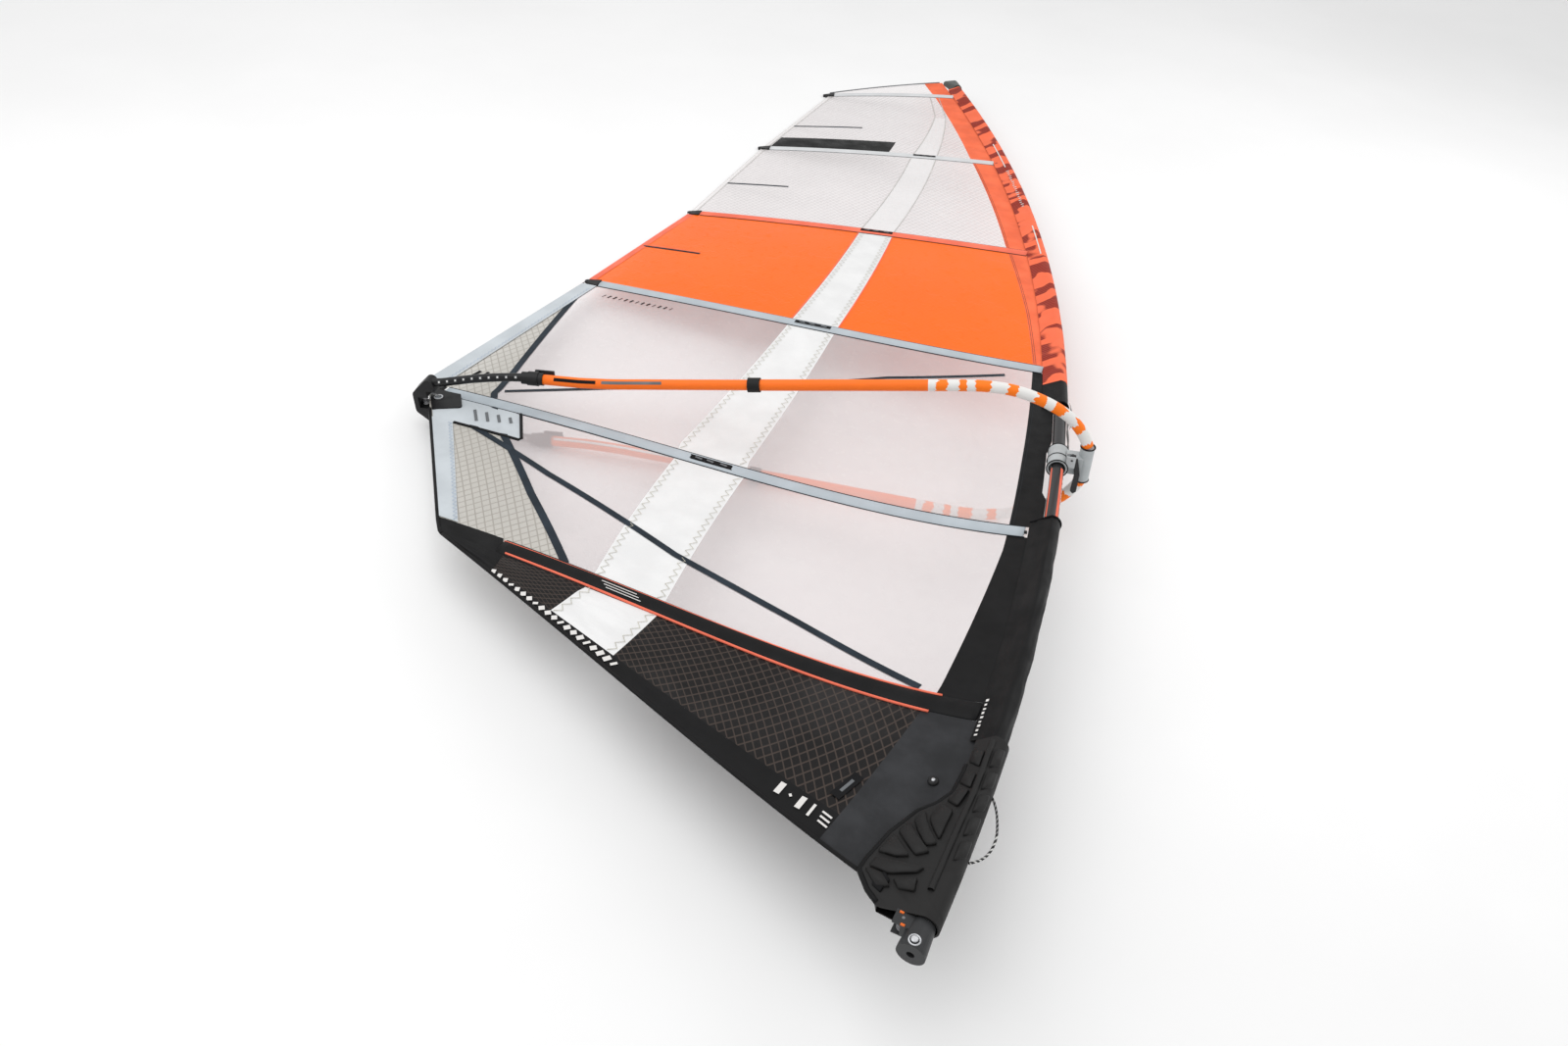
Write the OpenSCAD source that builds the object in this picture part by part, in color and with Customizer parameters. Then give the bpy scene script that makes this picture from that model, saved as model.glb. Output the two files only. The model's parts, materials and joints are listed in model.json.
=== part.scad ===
// Windsurfing rig: sail, mast, wishbone boom and mast base, lying on its side on a floor.
// The sail is modelled in its own plane first: the mast base's lower end is the origin, +Y runs
// up the mast, the leech lies towards -X and +Z faces up. laid() then lays the rig down to rest.

/* [Mast] */
// Height of the mast tip above the base
mast_length = 4650; // [4500:10:4700]
// Radius of the mast at the boom
mast_r = 18; // [17:0.5:19]
// Radius of the mast at the tip
tip_r = 11; // [9:0.5:13]
// Height at which the two mast halves join
joint_y = 2250; // [2100:10:2400]
// Wall of the mast tube
mast_wall = 3; // [2:0.5:4]

/* [Sail] */
// Thickness of a film or cloth panel
cloth_t = 0.8; // [0.6:0.1:1.2]
// Thickness of a sewn tape or reinforcement, over both faces
tape_t = 2.4; // [2:0.1:3]
// Width of a batten pocket
pocket_w = 42; // [36:1:46]
// Outer height of a batten pocket
pocket_h = 13; // [12:0.5:15]
// Diameter of a batten rod
batten_d = 7; // [6:0.5:8]
// Distance from the mast axis to the rear seam of the luff sleeve
sleeve_aft = 50; // [46:1:54]
// Outer radius of the luff sleeve round the mast
sleeve_r = 23; // [22:0.5:25]
// Lower end of the opening for the boom
cutout_low = 1240; // [1200:10:1300]
// Upper end of the opening for the boom
cutout_high = 1790; // [1740:10:1840]

/* [Boom] */
// Height of the boom clamp on the mast
boom_y = 1524; // [1490:1:1540]
// Slope of the boom away from the mast, in degrees
boom_tilt = 2.06; // [1.5:0.01:2.5]
// Outer radius of the boom tube under its grip
arm_r = 15.5; // [15:0.1:16]
// Outer radius of the boom's tail tubes
tail_r = 12; // [11.5:0.1:12.2]
// Half width of the boom where the tail tubes enter it
tail_half = 104; // [100:1:108]

/* [Base] */
// Radius of the bore that takes the mast foot's pin
foot_bore_r = 7.6; // [7:0.1:8.5]
// Depth of that bore
foot_bore_depth = 42; // [36:1:46]

/* [Rest on the floor] */
// Turn about the long axis that lays the tail of the boom on the floor
rest_roll = -4.84; // [-6:0.01:-3]
// Turn about the cross axis that lowers the head of the sail
rest_pitch = -2.23; // [-4:0.01:-1]
// Shift that centres the rig across
shift_x = 615; // [600:0.1:700]
// Shift that centres the rig along its length
shift_y = -2348.5; // [-2400:0.1:-2300]
// Height of the mast base's end above the floor
shift_z = 284.45; // [200:0.01:320]

/* [Hidden] */

black = [0.07, 0.07, 0.08];
slate = [0.20, 0.25, 0.30];
coral = [0.98, 0.38, 0.26];
orange = [1.0, 0.50, 0.10];
film = [0.92, 0.89, 0.89];
white = [0.94, 0.94, 0.93];
pale_grey = [0.68, 0.72, 0.76];
scrim = [0.74, 0.72, 0.68];
mid_grey = [0.30, 0.31, 0.33];
steel = [0.75, 0.76, 0.78];

// Shape of the bent mast: x as a cubic of height, in millimetres per metre
bend = [290, -87, 2.9];

// Chord lines of the sail, foot to head: height at the mast, leech x, leech y, belly, leech droop
CHORDS = [[70, -1250, 893, 25, 0],
          [545, -1262, 905, 52, 0],
          [600, -1285, 945, 55, 0],
          [1195, -1575, 1520, 45, 0],
          [1240, -1592, 1570, 44, 0],
          [1990, -1350, 2286, 8, 10],
          [2805, -1173, 3023, 2, 55],
          [3665, -1029, 3749, 0, 45],
          [4495, -840, 4478, 0, 30],
          [4720, -850, 4500, 0, 28]];
FOOT = 70;
HEAD = 4720;
BATTENS = [4495, 3665, 2805, 1990, 1195];
FOOT_BATTEN = 572;
half_pocket = pocket_w / 2;
foot_half = 27;
camber_fall = 2.5;
camber_peak = 8.117;

// Distance from the mast axis to the rear edge of the coral or black luff panel, by height
LUFF_EDGE = [[70, 255], [194, 232], [530, 172], [610, 150], [1120, 102], [1480, 96], [2010, 80],
             [2350, 92], [2850, 124], [3700, 143], [4720, 140]];
// Edges of the fold strip as fractions of the chord, by height
FOLD_AFT = [[70, 0.73], [454, 0.709], [563, 0.698], [1190, 0.56], [2005, 0.537], [2825, 0.49],
            [3655, 0.375], [4200, 0.25]];
FOLD_FORE = [[70, 0.59], [560, 0.567], [1190, 0.447], [2015, 0.44], [2825, 0.399],
             [3645, 0.278], [4200, 0.19]];
// Seam between the windows and the leech scrim
SCRIM = [[570, 0.734], [823, 0.811], [1106, 0.874], [1267, 0.882], [1366, 0.895], [1960, 0.992]];
fold_end = 4180;

function unit(v) = v / norm(v);
function mast_x(y) = let (t = y / 1000) bend[0] * t + bend[1] * t * t + bend[2] * t * t * t;
function column(w, k) = lookup(w, [for (c = CHORDS) [c[0], c[k]]]);
function luff_pt(w) = [mast_x(w), w];
function leech_pt(w) = [column(w, 1), column(w, 2)];
function chord(w) = norm(leech_pt(w) - luff_pt(w));
function belly(q) = camber_peak * q * pow(1 - q, camber_fall);
// A point of the cloth at height w on the mast and fraction s of the chord
function cloth(w, s) =
    let (p = luff_pt(w) + (leech_pt(w) - luff_pt(w)) * s, q = max(0, min(1, s)))
    [p.x, p.y, -column(w, 3) * belly(q) - column(w, 4) * q * q];
function frac(w, off) = off / chord(w);
luff_edge = function (w) frac(w, lookup(w, LUFF_EDGE));
sleeve_edge = function (w) frac(w, sleeve_aft + 1);
fold_aft = function (w) lookup(w, FOLD_AFT);
fold_fore = function (w) lookup(w, FOLD_FORE);
scrim_edge = function (w) lookup(w, SCRIM);
leech = function (w) 1;

function mast_radius(y) = mast_r + (tip_r - mast_r) * max(0, y - 1700) / (mast_length - 1700);
function mast_path(y0, y1, n) = [for (i = [0:n]) let (y = y0 + (y1 - y0) * i / n) [mast_x(y), y, 0]];

// Sweeps: each ring is a 2D outline placed square to the path
function tangent(path, i) = unit(path[min(i + 1, len(path) - 1)] - path[max(i - 1, 0)]);
function ring(p, t, ref, outline) =
    let (a = unit(cross(ref, t)), b = cross(t, a)) [for (o = outline) p + a * o.x + b * o.y];
function rings(path, outlines, ref) =
    [for (i = [0:len(path) - 1]) each ring(path[i], tangent(path, i), ref, outlines[i])];
function skin_faces(n, m, base, flip) =
    [for (i = [0:n - 2]) for (j = [0:m - 1])
        let (a = base + i * m + j, b = base + i * m + (j + 1) % m)
        each flip ? [[a, b, b + m], [a, b + m, a + m]] : [[a, b + m, b], [a, a + m, b + m]]];
function disc(r, sides) = [for (j = [0:sides - 1]) r * [cos(360 * j / sides), sin(360 * j / sides)]];

module sweep(path, outlines, ref = [0, 0, 1]) {
    n = len(path);
    m = len(outlines[0]);
    start = [for (j = [0:m - 1]) j];
    end = [for (j = [0:m - 1]) (n - 1) * m + m - 1 - j];
    polyhedron(rings(path, outlines, ref), concat(skin_faces(n, m, 0, false), [start, end]), 8);
}

module tube(path, outers, inners, ref = [0, 0, 1]) {
    n = len(path);
    m = len(outers[0]);
    k = n * m;
    last = (n - 1) * m;
    start = [for (j = [0:m - 1]) let (b = (j + 1) % m) [j, b, k + b, k + j]];
    end = [for (j = [0:m - 1]) let (b = (j + 1) % m) [last + j, k + last + j, k + last + b, last + b]];
    polyhedron(concat(rings(path, outers, ref), rings(path, inners, ref)),
               concat(skin_faces(n, m, 0, false), skin_faces(n, m, k, true), start, end), 8);
}

module rod(path, r, sides = 8, ref = [0, 0, 1]) {
    sweep(path, [for (p = path) disc(r, sides)], ref);
}

// Smooth curve through hand-set points
function curve_pt(p0, p1, p2, p3, t) =
    0.5 * ((2 * p1) + (p2 - p0) * t + (2 * p0 - 5 * p1 + 4 * p2 - p3) * t * t
           + (3 * p1 - p0 - 3 * p2 + p3) * t * t * t);
function smooth(pts, n) =
    let (k = len(pts) - 1)
    [for (i = [0:k - 1]) for (j = [0:n - 1])
        curve_pt(pts[max(i - 1, 0)], pts[i], pts[i + 1], pts[min(i + 2, k)], j / n), pts[k]];

// A sheet of even thickness over a grid of middle points
module sheet(grid, t) {
    rows = len(grid);
    cols = len(grid[0]);
    k = rows * cols;
    up = [for (r = grid) for (p = r) p + [0, 0, t / 2]];
    down = [for (r = grid) for (p = r) p - [0, 0, t / 2]];
    cells = [for (i = [0:rows - 2]) for (j = [0:cols - 2]) i * cols + j];
    top = [for (a = cells) each [[a, a + 1, a + cols + 1], [a, a + cols + 1, a + cols]]];
    bottom = [for (f = top) [f[2] + k, f[1] + k, f[0] + k]];
    rim = concat([for (j = [0:cols - 2]) j], [for (i = [0:rows - 2]) i * cols + cols - 1],
                 [for (j = [0:cols - 2]) k - 1 - j], [for (i = [0:rows - 2]) (rows - 1 - i) * cols]);
    m = len(rim);
    side = [for (i = [0:m - 1]) let (a = rim[i], b = rim[(i + 1) % m])
            each [[a, a + k, b + k], [a, b + k, b]]];
    polyhedron([each up, each down], concat(top, bottom, side), 8);
}

// A panel between two heights and two edge curves, given as functions of the height
module panel(low, high, fore, aft, rows = 5, cols = 7, t = cloth_t) {
    grid = [for (i = [0:rows])
            let (w = low + (high - low) * i / rows, a = fore(w), b = aft(w))
            [for (j = [0:cols]) cloth(w, a + (b - a) * j / cols)]];
    sheet(grid, t);
}

// A flat tape along a line of [height, chord fraction] points
module tape(line, width, t = tape_t, n = 4) {
    mid = [for (i = [0:len(line) - 2]) for (j = [0:n - 1])
           let (q = line[i] + (line[i + 1] - line[i]) * j / n) cloth(q[0], q[1]),
           cloth(line[len(line) - 1][0], line[len(line) - 1][1])];
    grid = [for (i = [0:len(mid) - 1])
            let (a = unit(cross(tangent(mid, i), [0, 0, 1])))
            [for (side = [-1, 1]) mid[i] + a * side * width / 2]];
    sheet(grid, t);
}

module laid() {
    translate([shift_x, shift_y, shift_z]) rotate([rest_pitch, rest_roll, 0]) children();
}

// ---- Mast ----
module mast_part(y0, y1, n) {
    path = mast_path(y0, y1, n);
    outer = [for (p = path) disc(mast_radius(p.y), 14)];
    inner = [for (p = path) disc(mast_radius(p.y) - mast_wall, 14)];
    tube(path, outer, inner);
}

mast_low = 118;

module mast_bottom() {
    color(black) laid() mast_part(mast_low, joint_y, 18);
}

module mast_top() {
    color(black) laid() mast_part(joint_y, mast_length, 20);
}

// Short tube inside the mast that joins the two halves
module mast_ferrule() {
    path = mast_path(joint_y - 110, joint_y + 130, 4);
    outer = [for (p = path) disc(mast_radius(p.y) - mast_wall - 0.3, 14)];
    inner = [for (p = path) disc(mast_radius(p.y) - mast_wall - 2.8, 14)];
    color(mid_grey) laid() tube(path, outer, inner);
}

// Moulded cap over the mast tip, inside the head of the sleeve
module head_cap() {
    angle = -atan(mast_x(mast_length) - mast_x(mast_length - 1));
    color(mid_grey) laid()
        translate([mast_x(mast_length), mast_length, 0]) rotate([0, 0, angle]) {
            difference() {
                hull() {
                    translate([-34, 52, 0]) sphere(13, $fn = 20);
                    translate([4, 40, 0]) sphere(19, $fn = 20);
                    translate([0, -40, 0]) rotate([90, 0, 0]) cylinder(r = 22, h = 1, $fn = 28);
                }
                translate([0, 1, 0]) rotate([90, 0, 0]) cylinder(r = 16, h = 60);
            }
        }
}

// ---- Luff sleeve ----
// Teardrop outline round the mast: a round nose and a narrow rear seam at the cloth's height
function teardrop(r, aft, drop, half) =
    concat([[aft, drop + half]], [for (a = [90:20:270]) r * [cos(a), sin(a)]], [[aft, drop - half]]);
function sleeve_drop(w, off) = cloth(w, frac(w, off)).z;

module luff_tube(y0, y1, n, wall, nose, aft, half) {
    path = mast_path(y0, y1, n);
    outer = [for (p = path) teardrop(nose(p.y), aft(p.y), sleeve_drop(p.y, aft(p.y)), half)];
    inner = [for (p = path)
             teardrop(nose(p.y) - wall, aft(p.y) - 2 * wall, sleeve_drop(p.y, aft(p.y)), half - wall)];
    tube(path, outer, inner);
}

module sleeve_upper() {
    nose = function (y) sleeve_r - 6 * max(0, y - cutout_high) / (mast_length - cutout_high);
    color(coral) laid()
        luff_tube(cutout_high, mast_length - 46, 22, 1, nose, function (y) sleeve_aft, 3);
}

pad_top = 487;

module sleeve_lower() {
    color(black) laid()
        luff_tube(pad_top + 1, cutout_low, 8, 1.2, function (y) sleeve_r + 2,
                  function (y) sleeve_aft, 3);
}

// ---- Sail cloth ----
function above(i) = BATTENS[i] - half_pocket;
function below(i) = BATTENS[i] + half_pocket;
foot_top = FOOT_BATTEN + foot_half;
foot_low = FOOT_BATTEN - foot_half;

module luff_band() {
    color(coral) laid() {
        panel(BATTENS[0] + half_pocket, HEAD - 4, sleeve_edge, luff_edge, 2, 1);
        for (i = [0:2])
            panel(below(i + 1), above(i), sleeve_edge, luff_edge, 5, 1);
    }
}

module luff_panel() {
    color(black) laid() {
        panel(below(4), above(3), sleeve_edge, luff_edge, 6, 1);
        panel(foot_top, above(4), sleeve_edge, luff_edge, 5, 1);
    }
}

module tack_panel() {
    color(mid_grey) laid() panel(FOOT + 14, foot_low, sleeve_edge, luff_edge, 4, 3);
}

module head_panel() {
    color(film) laid() panel(BATTENS[0] + half_pocket, HEAD - 4, luff_edge, leech, 2, 5);
}

module upper_panels_fore() {
    color(film) laid() {
        panel(below(1), fold_end, luff_edge, fold_fore, 4, 2);
        panel(below(2), above(1), luff_edge, fold_fore, 5, 3);
    }
}

module upper_panel_aft() {
    color(film) laid() {
        panel(below(1), fold_end, fold_aft, leech, 4, 5);
        panel(fold_end, above(0), luff_edge, leech, 2, 6);
    }
}

module middle_panel_aft() {
    color(film) laid() panel(below(2), above(1), fold_aft, leech, 5, 5);
}

module orange_panel_fore() {
    color(orange) laid() panel(below(3), above(2), luff_edge, fold_fore, 5, 5);
}

module orange_panel_aft() {
    color(orange) laid() panel(below(3), above(2), fold_aft, leech, 5, 5);
}

module window_upper_fore() {
    color(film) laid() panel(below(4), above(3), luff_edge, fold_fore, 5, 6);
}

module window_upper_aft() {
    color(film) laid() panel(below(4), above(3), fold_aft, scrim_edge, 5, 5);
}

module window_lower_fore() {
    color(film) laid() panel(foot_top, above(4), luff_edge, fold_fore, 5, 6);
}

module window_lower_aft() {
    color(film) laid() panel(foot_top, above(4), fold_aft, scrim_edge, 5, 3);
}

module leech_scrim() {
    color(scrim) laid() {
        panel(below(4) + 30, above(3), scrim_edge, leech, 5, 2);
        panel(foot_top, above(4), scrim_edge, leech, 5, 3);
    }
}

trim_high = FOOT + 92;

module foot_panel_fore() {
    color(black) laid() panel(trim_high, foot_low, luff_edge, fold_fore, 4, 6);
}

module foot_panel_aft() {
    color(black) laid() panel(trim_high, foot_low, fold_aft, leech, 4, 4);
}

module foot_trim() {
    color(black) laid() panel(FOOT, trim_high, luff_edge, leech, 1, 10, 2);
}

module fold_strip() {
    color(white) laid() {
        panel(trim_high, foot_low, fold_fore, fold_aft, 3, 1);
        panel(foot_top, above(4), fold_fore, fold_aft, 4, 1);
        panel(below(4), above(3), fold_fore, fold_aft, 4, 1);
        panel(below(3), above(2), fold_fore, fold_aft, 4, 1);
        panel(below(2), above(1), fold_fore, fold_aft, 4, 1);
        panel(below(1), fold_end, fold_fore, fold_aft, 3, 1);
    }
}

// ---- Battens ----
function batten_path(w, s0, s1, n) = [for (i = [0:n]) cloth(w, s0 + (s1 - s0) * i / n)];
function lens(w, h) = [[w / 2, 0], [w / 4, h / 2], [-w / 4, h / 2], [-w / 2, 0], [-w / 4, -h / 2],
                       [w / 4, -h / 2]];

module pocket(w, width, s1) {
    path = batten_path(w, sleeve_edge(w), s1, 9);
    tube(path, [for (p = path) lens(width, pocket_h)],
         [for (p = path) lens(width - 6, pocket_h - 1.6)]);
}

module batten_pockets() {
    color(pale_grey) laid()
        for (i = [0:4]) {
            w = BATTENS[i];
            mid = cloth(w, (fold_fore(w) + fold_aft(w)) / 2);
            difference() {
                pocket(w, pocket_w, 0.965);
                if (i > 0)
                    translate(mid + [0, 0, 12]) cube([100, 16, 24], center = true);
            }
        }
}

module foot_batten_pocket() {
    color(black) laid() pocket(FOOT_BATTEN, 2 * foot_half, 0.87);
}

// Each batten is two rods that meet in a connector at the fold strip
module battens() {
    color(mid_grey) laid()
        for (w = concat(BATTENS, [FOOT_BATTEN])) {
            end = w == FOOT_BATTEN ? 0.86 : 0.955;
            mid = (fold_fore(w) + fold_aft(w)) / 2;
            gap = frac(w, 1);
            if (w == BATTENS[0])
                rod(batten_path(w, frac(w, 60), end, 5), batten_d / 2, 6);
            else {
                rod(batten_path(w, frac(w, 60), mid - gap, 6), batten_d / 2, 6);
                rod(batten_path(w, mid + gap, end, 5), batten_d / 2, 6);
            }
        }
}

module batten_tips() {
    color(black) laid()
        for (w = concat(BATTENS, [FOOT_BATTEN])) {
            path = batten_path(w, frac(w, 53), frac(w, 59.5), 1);
            rod(path, 4.5, 8);
        }
}

module batten_connectors() {
    color(black) laid()
        for (w = concat([for (i = [1:4]) BATTENS[i]], [FOOT_BATTEN])) {
            mid = (fold_fore(w) + fold_aft(w)) / 2;
            reach = frac(w, 42);
            path = batten_path(w, mid - reach, mid + reach, 4);
            tube(path, [for (p = path) disc(batten_d / 2 + 1.7, 8)],
                 [for (p = path) disc(batten_d / 2 + 0.2, 8)]);
        }
}

// Moulded tensioner that closes each pocket at the leech; the lowest one clears the clew plate
TENSIONERS = [4495, 3665, 2805, 1990, 1216];

module batten_tensioners() {
    color(black) laid()
        for (w = TENSIONERS) {
            p = cloth(w, 0.968);
            q = cloth(w, 1);
            d = unit(q - p);
            translate(p) rotate([0, asin(-d.z), atan2(d.y, d.x)])
                difference() {
                    hull() {
                        translate([0.5, -20, -5]) cube([6, 40, 10]);
                        translate([46, 0, -4]) cylinder(r = 9, h = 8, $fn = 32);
                    }
                    translate([46, 0, -6]) cylinder(r = 3.2, h = 14);
                }
        }
}

module mini_battens() {
    color(slate) laid() {
        tape([[2390, 0.842], [2388, 0.99]], 14, 4, 1);
        tape([[3185, 0.775], [3178, 0.985]], 14, 4, 1);
        tape([[3992, 0.632], [3988, 0.98]], 14, 4, 1);
    }
}

// ---- Tapes and patches ----
module scrim_tapes() {
    color(slate) laid() {
        tape([[foot_top + 14, 0.75], [823, 0.811], [1106, 0.874], [above(4), 0.878]], 20);
        tape([[below(4), 0.879], [1267, 0.882], [1366, 0.895], [above(3) - 14, 0.985]], 20);
    }
}

module load_tapes() {
    color(slate) laid() {
        tape([[1054, 0.924], [931, 0.78], [780, 0.55], [700, 0.339], [618, 0.13]], 17, tape_t + 0.8);
        tape([[1261, 0.87], [1428, 0.703], [1790, 0.307], [1925, 0.1]], 12, tape_t + 0.8);
    }
}

module leech_tapes() {
    color(pale_grey) laid() {
        panel(foot_top + 14, 1040, function (w) 0.958, leech, 4, 1, tape_t);
        panel(1250, above(3), function (w) 0.968, leech, 4, 1, tape_t);
    }
}

module clew_patch() {
    color(pale_grey) laid()
        difference() {
            panel(1046, above(4), function (w) 0.83, function (w) 0.995, 3, 4, tape_t + 1);
            for (i = [0:3])
                translate(cloth(1120, 0.865 + 0.018 * i)) rotate([0, 0, 12])
                    cube([9, 50 - 6 * (3 - i), 20], center = true);
        }
}

module corner_patch() {
    color(black) laid() panel(trim_high, foot_top + 12, function (w) 0.865, leech, 6, 3, tape_t + 1);
}

module head_label() {
    color(black) laid()
        panel(below(1) + 4, 3820, function (w) 0.47 - (w - 3690) * 0.00015,
              function (w) 0.975, 2, 4, tape_t);
}

clew = [-1517, 1466, 0];
CLEW_CORNERS = [[-1552, 1502], [-1470, 1494], [-1442, 1437], [-1508, 1417]];

module clew_plate() {
    color(black) laid()
        difference() {
            hull()
                for (c = CLEW_CORNERS)
                    translate([c.x, c.y, -6]) cylinder(r = 8, h = 12, $fn = 28);
            translate([clew.x, clew.y, -20]) cylinder(r = 13, h = 40);
        }
}

module clew_ring() {
    color(steel) laid() translate([clew.x, clew.y, 0])
        rotate_extrude($fn = 40) polygon([[9, -8.5], [12.9, -8.5], [12.9, 8.5], [9, 8.5]]);
}

// ---- Mast base and downhaul ----
base_turn = -atan(bend[0] / 1000);

module at_base() {
    rotate([0, 0, base_turn]) children();
}

// Padded cover over the tack, the pulleys and the foot of the mast
pad_low = 65;
PAD_AFT = [[pad_low, 88], [85, 118], [118, 148], [145, 145], [216, 126], [282, 94], [312, 64],
           [345, 44], [400, 38], [487, 37]];

module mast_pad() {
    color(black) laid()
        luff_tube(pad_low, pad_top, 18, 4, function (y) 31, function (y) lookup(y, PAD_AFT), 9);
}

module extension_tube() {
    path = mast_path(64, 420, 6);
    color(steel) laid()
        tube(path, [for (p = path) disc(mast_r - mast_wall - 0.4, 14)],
             [for (p = path) disc(mast_r - mast_wall - 3, 14)]);
}

sheave_r = 11;
sheave_y = 50;
tack_y = 168;
sheave_x = -34;
sheave_z = [-9, 0, 9];
axle_r = 3;

module base_housing() {
    color(mid_grey) laid() at_base()
        difference() {
            union() {
                hull() {
                    translate([0, 0, 0]) rotate([-90, 0, 0]) cylinder(r = 27, h = 8, $fn = 32);
                    translate([0, 52, 0]) rotate([-90, 0, 0]) cylinder(r = 23, h = 10, $fn = 32);
                }
                translate([-50, 34, -17]) cube([34, 28, 34]);
            }
            translate([0, -1, 0]) rotate([-90, 0, 0]) cylinder(r = foot_bore_r, h = foot_bore_depth + 1);
            translate([0, 14, 0]) cylinder(r = 7, h = 40);
            translate([sheave_x, sheave_y, 0]) cylinder(r = sheave_r + 2, h = 28, center = true);
            translate([-60, 34, -14]) cube([26, 32, 28]);
            translate([-60, sheave_y, -14]) cube([41, 14, 28]);
            translate([sheave_x, sheave_y, 0]) cylinder(r = axle_r + 0.06, h = 60, center = true);
        }
}

// Three grooved sheaves in a row on one axle, which turns in the block's cheeks
module sheave_row(y) {
    translate([sheave_x, y, 0]) {
        cylinder(r = axle_r, h = 33, center = true);
        for (z = sheave_z)
            translate([0, 0, z]) sheave();
    }
}

module sheave() {
    rotate_extrude($fn = 36)
        polygon([[0, -3.5], [sheave_r, -3.5], [sheave_r - 3, 0], [sheave_r, 3.5], [0, 3.5]]);
}

module base_sheaves() {
    color(steel) laid() at_base() sheave_row(sheave_y);
}

// Steel button that frees the mast foot's pin
module release_button() {
    color(steel) laid() at_base()
        translate([0, 14, 17]) rotate_extrude($fn = 36)
            polygon([[0, 0], [6.6, 0], [6.6, 13], [5, 14], [0, 14]]);
}

module tack_block() {
    color(black) laid() at_base()
        difference() {
            translate([sheave_x - 15, tack_y - 15, -17]) cube([27, 44, 34]);
            translate([sheave_x, tack_y, 0]) cylinder(r = sheave_r + 2, h = 28, center = true);
            translate([sheave_x - 20, tack_y - 30, -14]) cube([40, 30, 28]);
            translate([sheave_x, tack_y, 0]) cylinder(r = axle_r + 0.06, h = 60, center = true);
        }
}

module tack_sheaves() {
    color(steel) laid() at_base() sheave_row(tack_y);
}

line_r = 2;

// Downhaul line between the two rows of sheaves
module downhaul_line() {
    x0 = sheave_x - sheave_r - 0.3;
    x1 = sheave_x + sheave_r + 0.3;
    color(white) laid() at_base()
        for (z = sheave_z) {
            rod([[x0, sheave_y, z], [x0, tack_y, z]], line_r, 8);
            rod([[x1, sheave_y, z], [x1, tack_y, z]], line_r, 8);
        }
}

// Loop of the downhaul's tail that stands out of the front of the pad
TAIL = [[116, 362, 2], [124, 352, 2], [132, 330, -2], [136, 304, -8], [136, 278, -14], [130, 254, -17],
        [120, 234, -16], [108, 218, -10], [98, 208, -4], [88, 200, 0]];

module downhaul_tail() {
    color(black) laid() rod(smooth(TAIL, 2), 2.5, 8);
}

// ---- Boom ----
module at_boom() {
    translate([mast_x(boom_y), boom_y, 0]) rotate([0, 0, boom_tilt]) children();
}

// Half of the boom, seen along the mast: distance from the mast axis and from the sail's plane
// The rear of each arm and the front of its tail tube run straight, so that one slides in the other
tail_x = -1780;
tail_z = 60;
ARM_STRAIGHT = [[-1475, tail_half], [-1405, tail_half]];
ARM_BEND = [[-1335, tail_half], [-1240, 109.5], [-1144, 119], [-838, 150], [-544, 181], [-304, 206],
            [-224, 212], [-154, 208], [-94, 193], [-39, 170], [6, 142], [38, 110], [60, 78], [70, 56]];
TUBE_STRAIGHT = [[-1345, tail_half], [-1425, tail_half]];
TUBE_BEND = [[-1505, tail_half], [-1570, 97.5], [-1650, 84], [-1710, 70.5], [-1750, 62],
             [tail_x, tail_z]];
arm_bore = 12.5;

function arm_points(straight, bent) = [for (p = concat(straight, smooth(bent, 2))) [p.x, 0, p.y]];
function grip_r(x) = x > -830 ? arm_r : arm_r - 1;

module arm() {
    path = arm_points(ARM_STRAIGHT, ARM_BEND);
    tube(path, [for (p = path) disc(grip_r(p.x), 12)], [for (p = path) disc(arm_bore, 12)], [0, 1, 0]);
}

module both_arms() {
    children();
    mirror([0, 0, 1]) children();
}

module boom_arms() {
    color(orange) laid() at_boom() both_arms() arm();
}

module tail_tubes() {
    path = arm_points(TUBE_STRAIGHT, TUBE_BEND);
    color(black) laid() at_boom() both_arms()
        tube(path, [for (p = path) disc(tail_r, 12)], [for (p = path) disc(tail_r - 2, 12)],
             [0, 1, 0]);
}

module harness_collars() {
    color(black) laid() at_boom() both_arms()
        translate([-838, 0, 150]) rotate([0, 84.2, 0])
            difference() {
                cylinder(r = 20, h = 34, center = true);
                cylinder(r = arm_r + 0.2, h = 40, center = true);
            }
}

collar_x = -1478;
lever_x = 11;
lever_y = 25;

module arm_collars() {
    color(black) laid() at_boom() both_arms()
        translate([collar_x, 0, tail_half]) rotate([0, 90, 0])
            difference() {
                union() {
                    translate([0, 0, -22]) cylinder(r = 17.5, h = 62);
                    translate([0, 0, -4]) cylinder(r = 20, h = 30);
                    translate([-7, 16, lever_x - 4.5]) cube([14, lever_y - 16, 9]);
                    translate([-7, lever_y, lever_x]) rotate([0, 90, 0]) cylinder(r = 4.5, h = 14);
                }
                translate([0, 0, 2.6]) cylinder(r = arm_r - 1 + 0.2, h = 60);
                translate([0, 0, -30]) cylinder(r = tail_r + 0.4, h = 60);
                translate([-10, lever_y, lever_x]) rotate([0, 90, 0]) cylinder(r = 2, h = 20);
            }
}

// Cam lever that locks each tail tube, turning on a pin across its collar
module collar_lever() {
    translate([collar_x + lever_x, lever_y, 0]) rotate([-90, 0, 0]) {
        rotate([90, 0, 0]) cylinder(r = 1.95, h = 24, center = true);
        for (side = [-1, 1])
            translate([-3, side * 10 - 2, -2.5]) cube([10, 4, 8]);
        translate([6, -12, 1]) cube([46, 24, 4.5]);
    }
}

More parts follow.
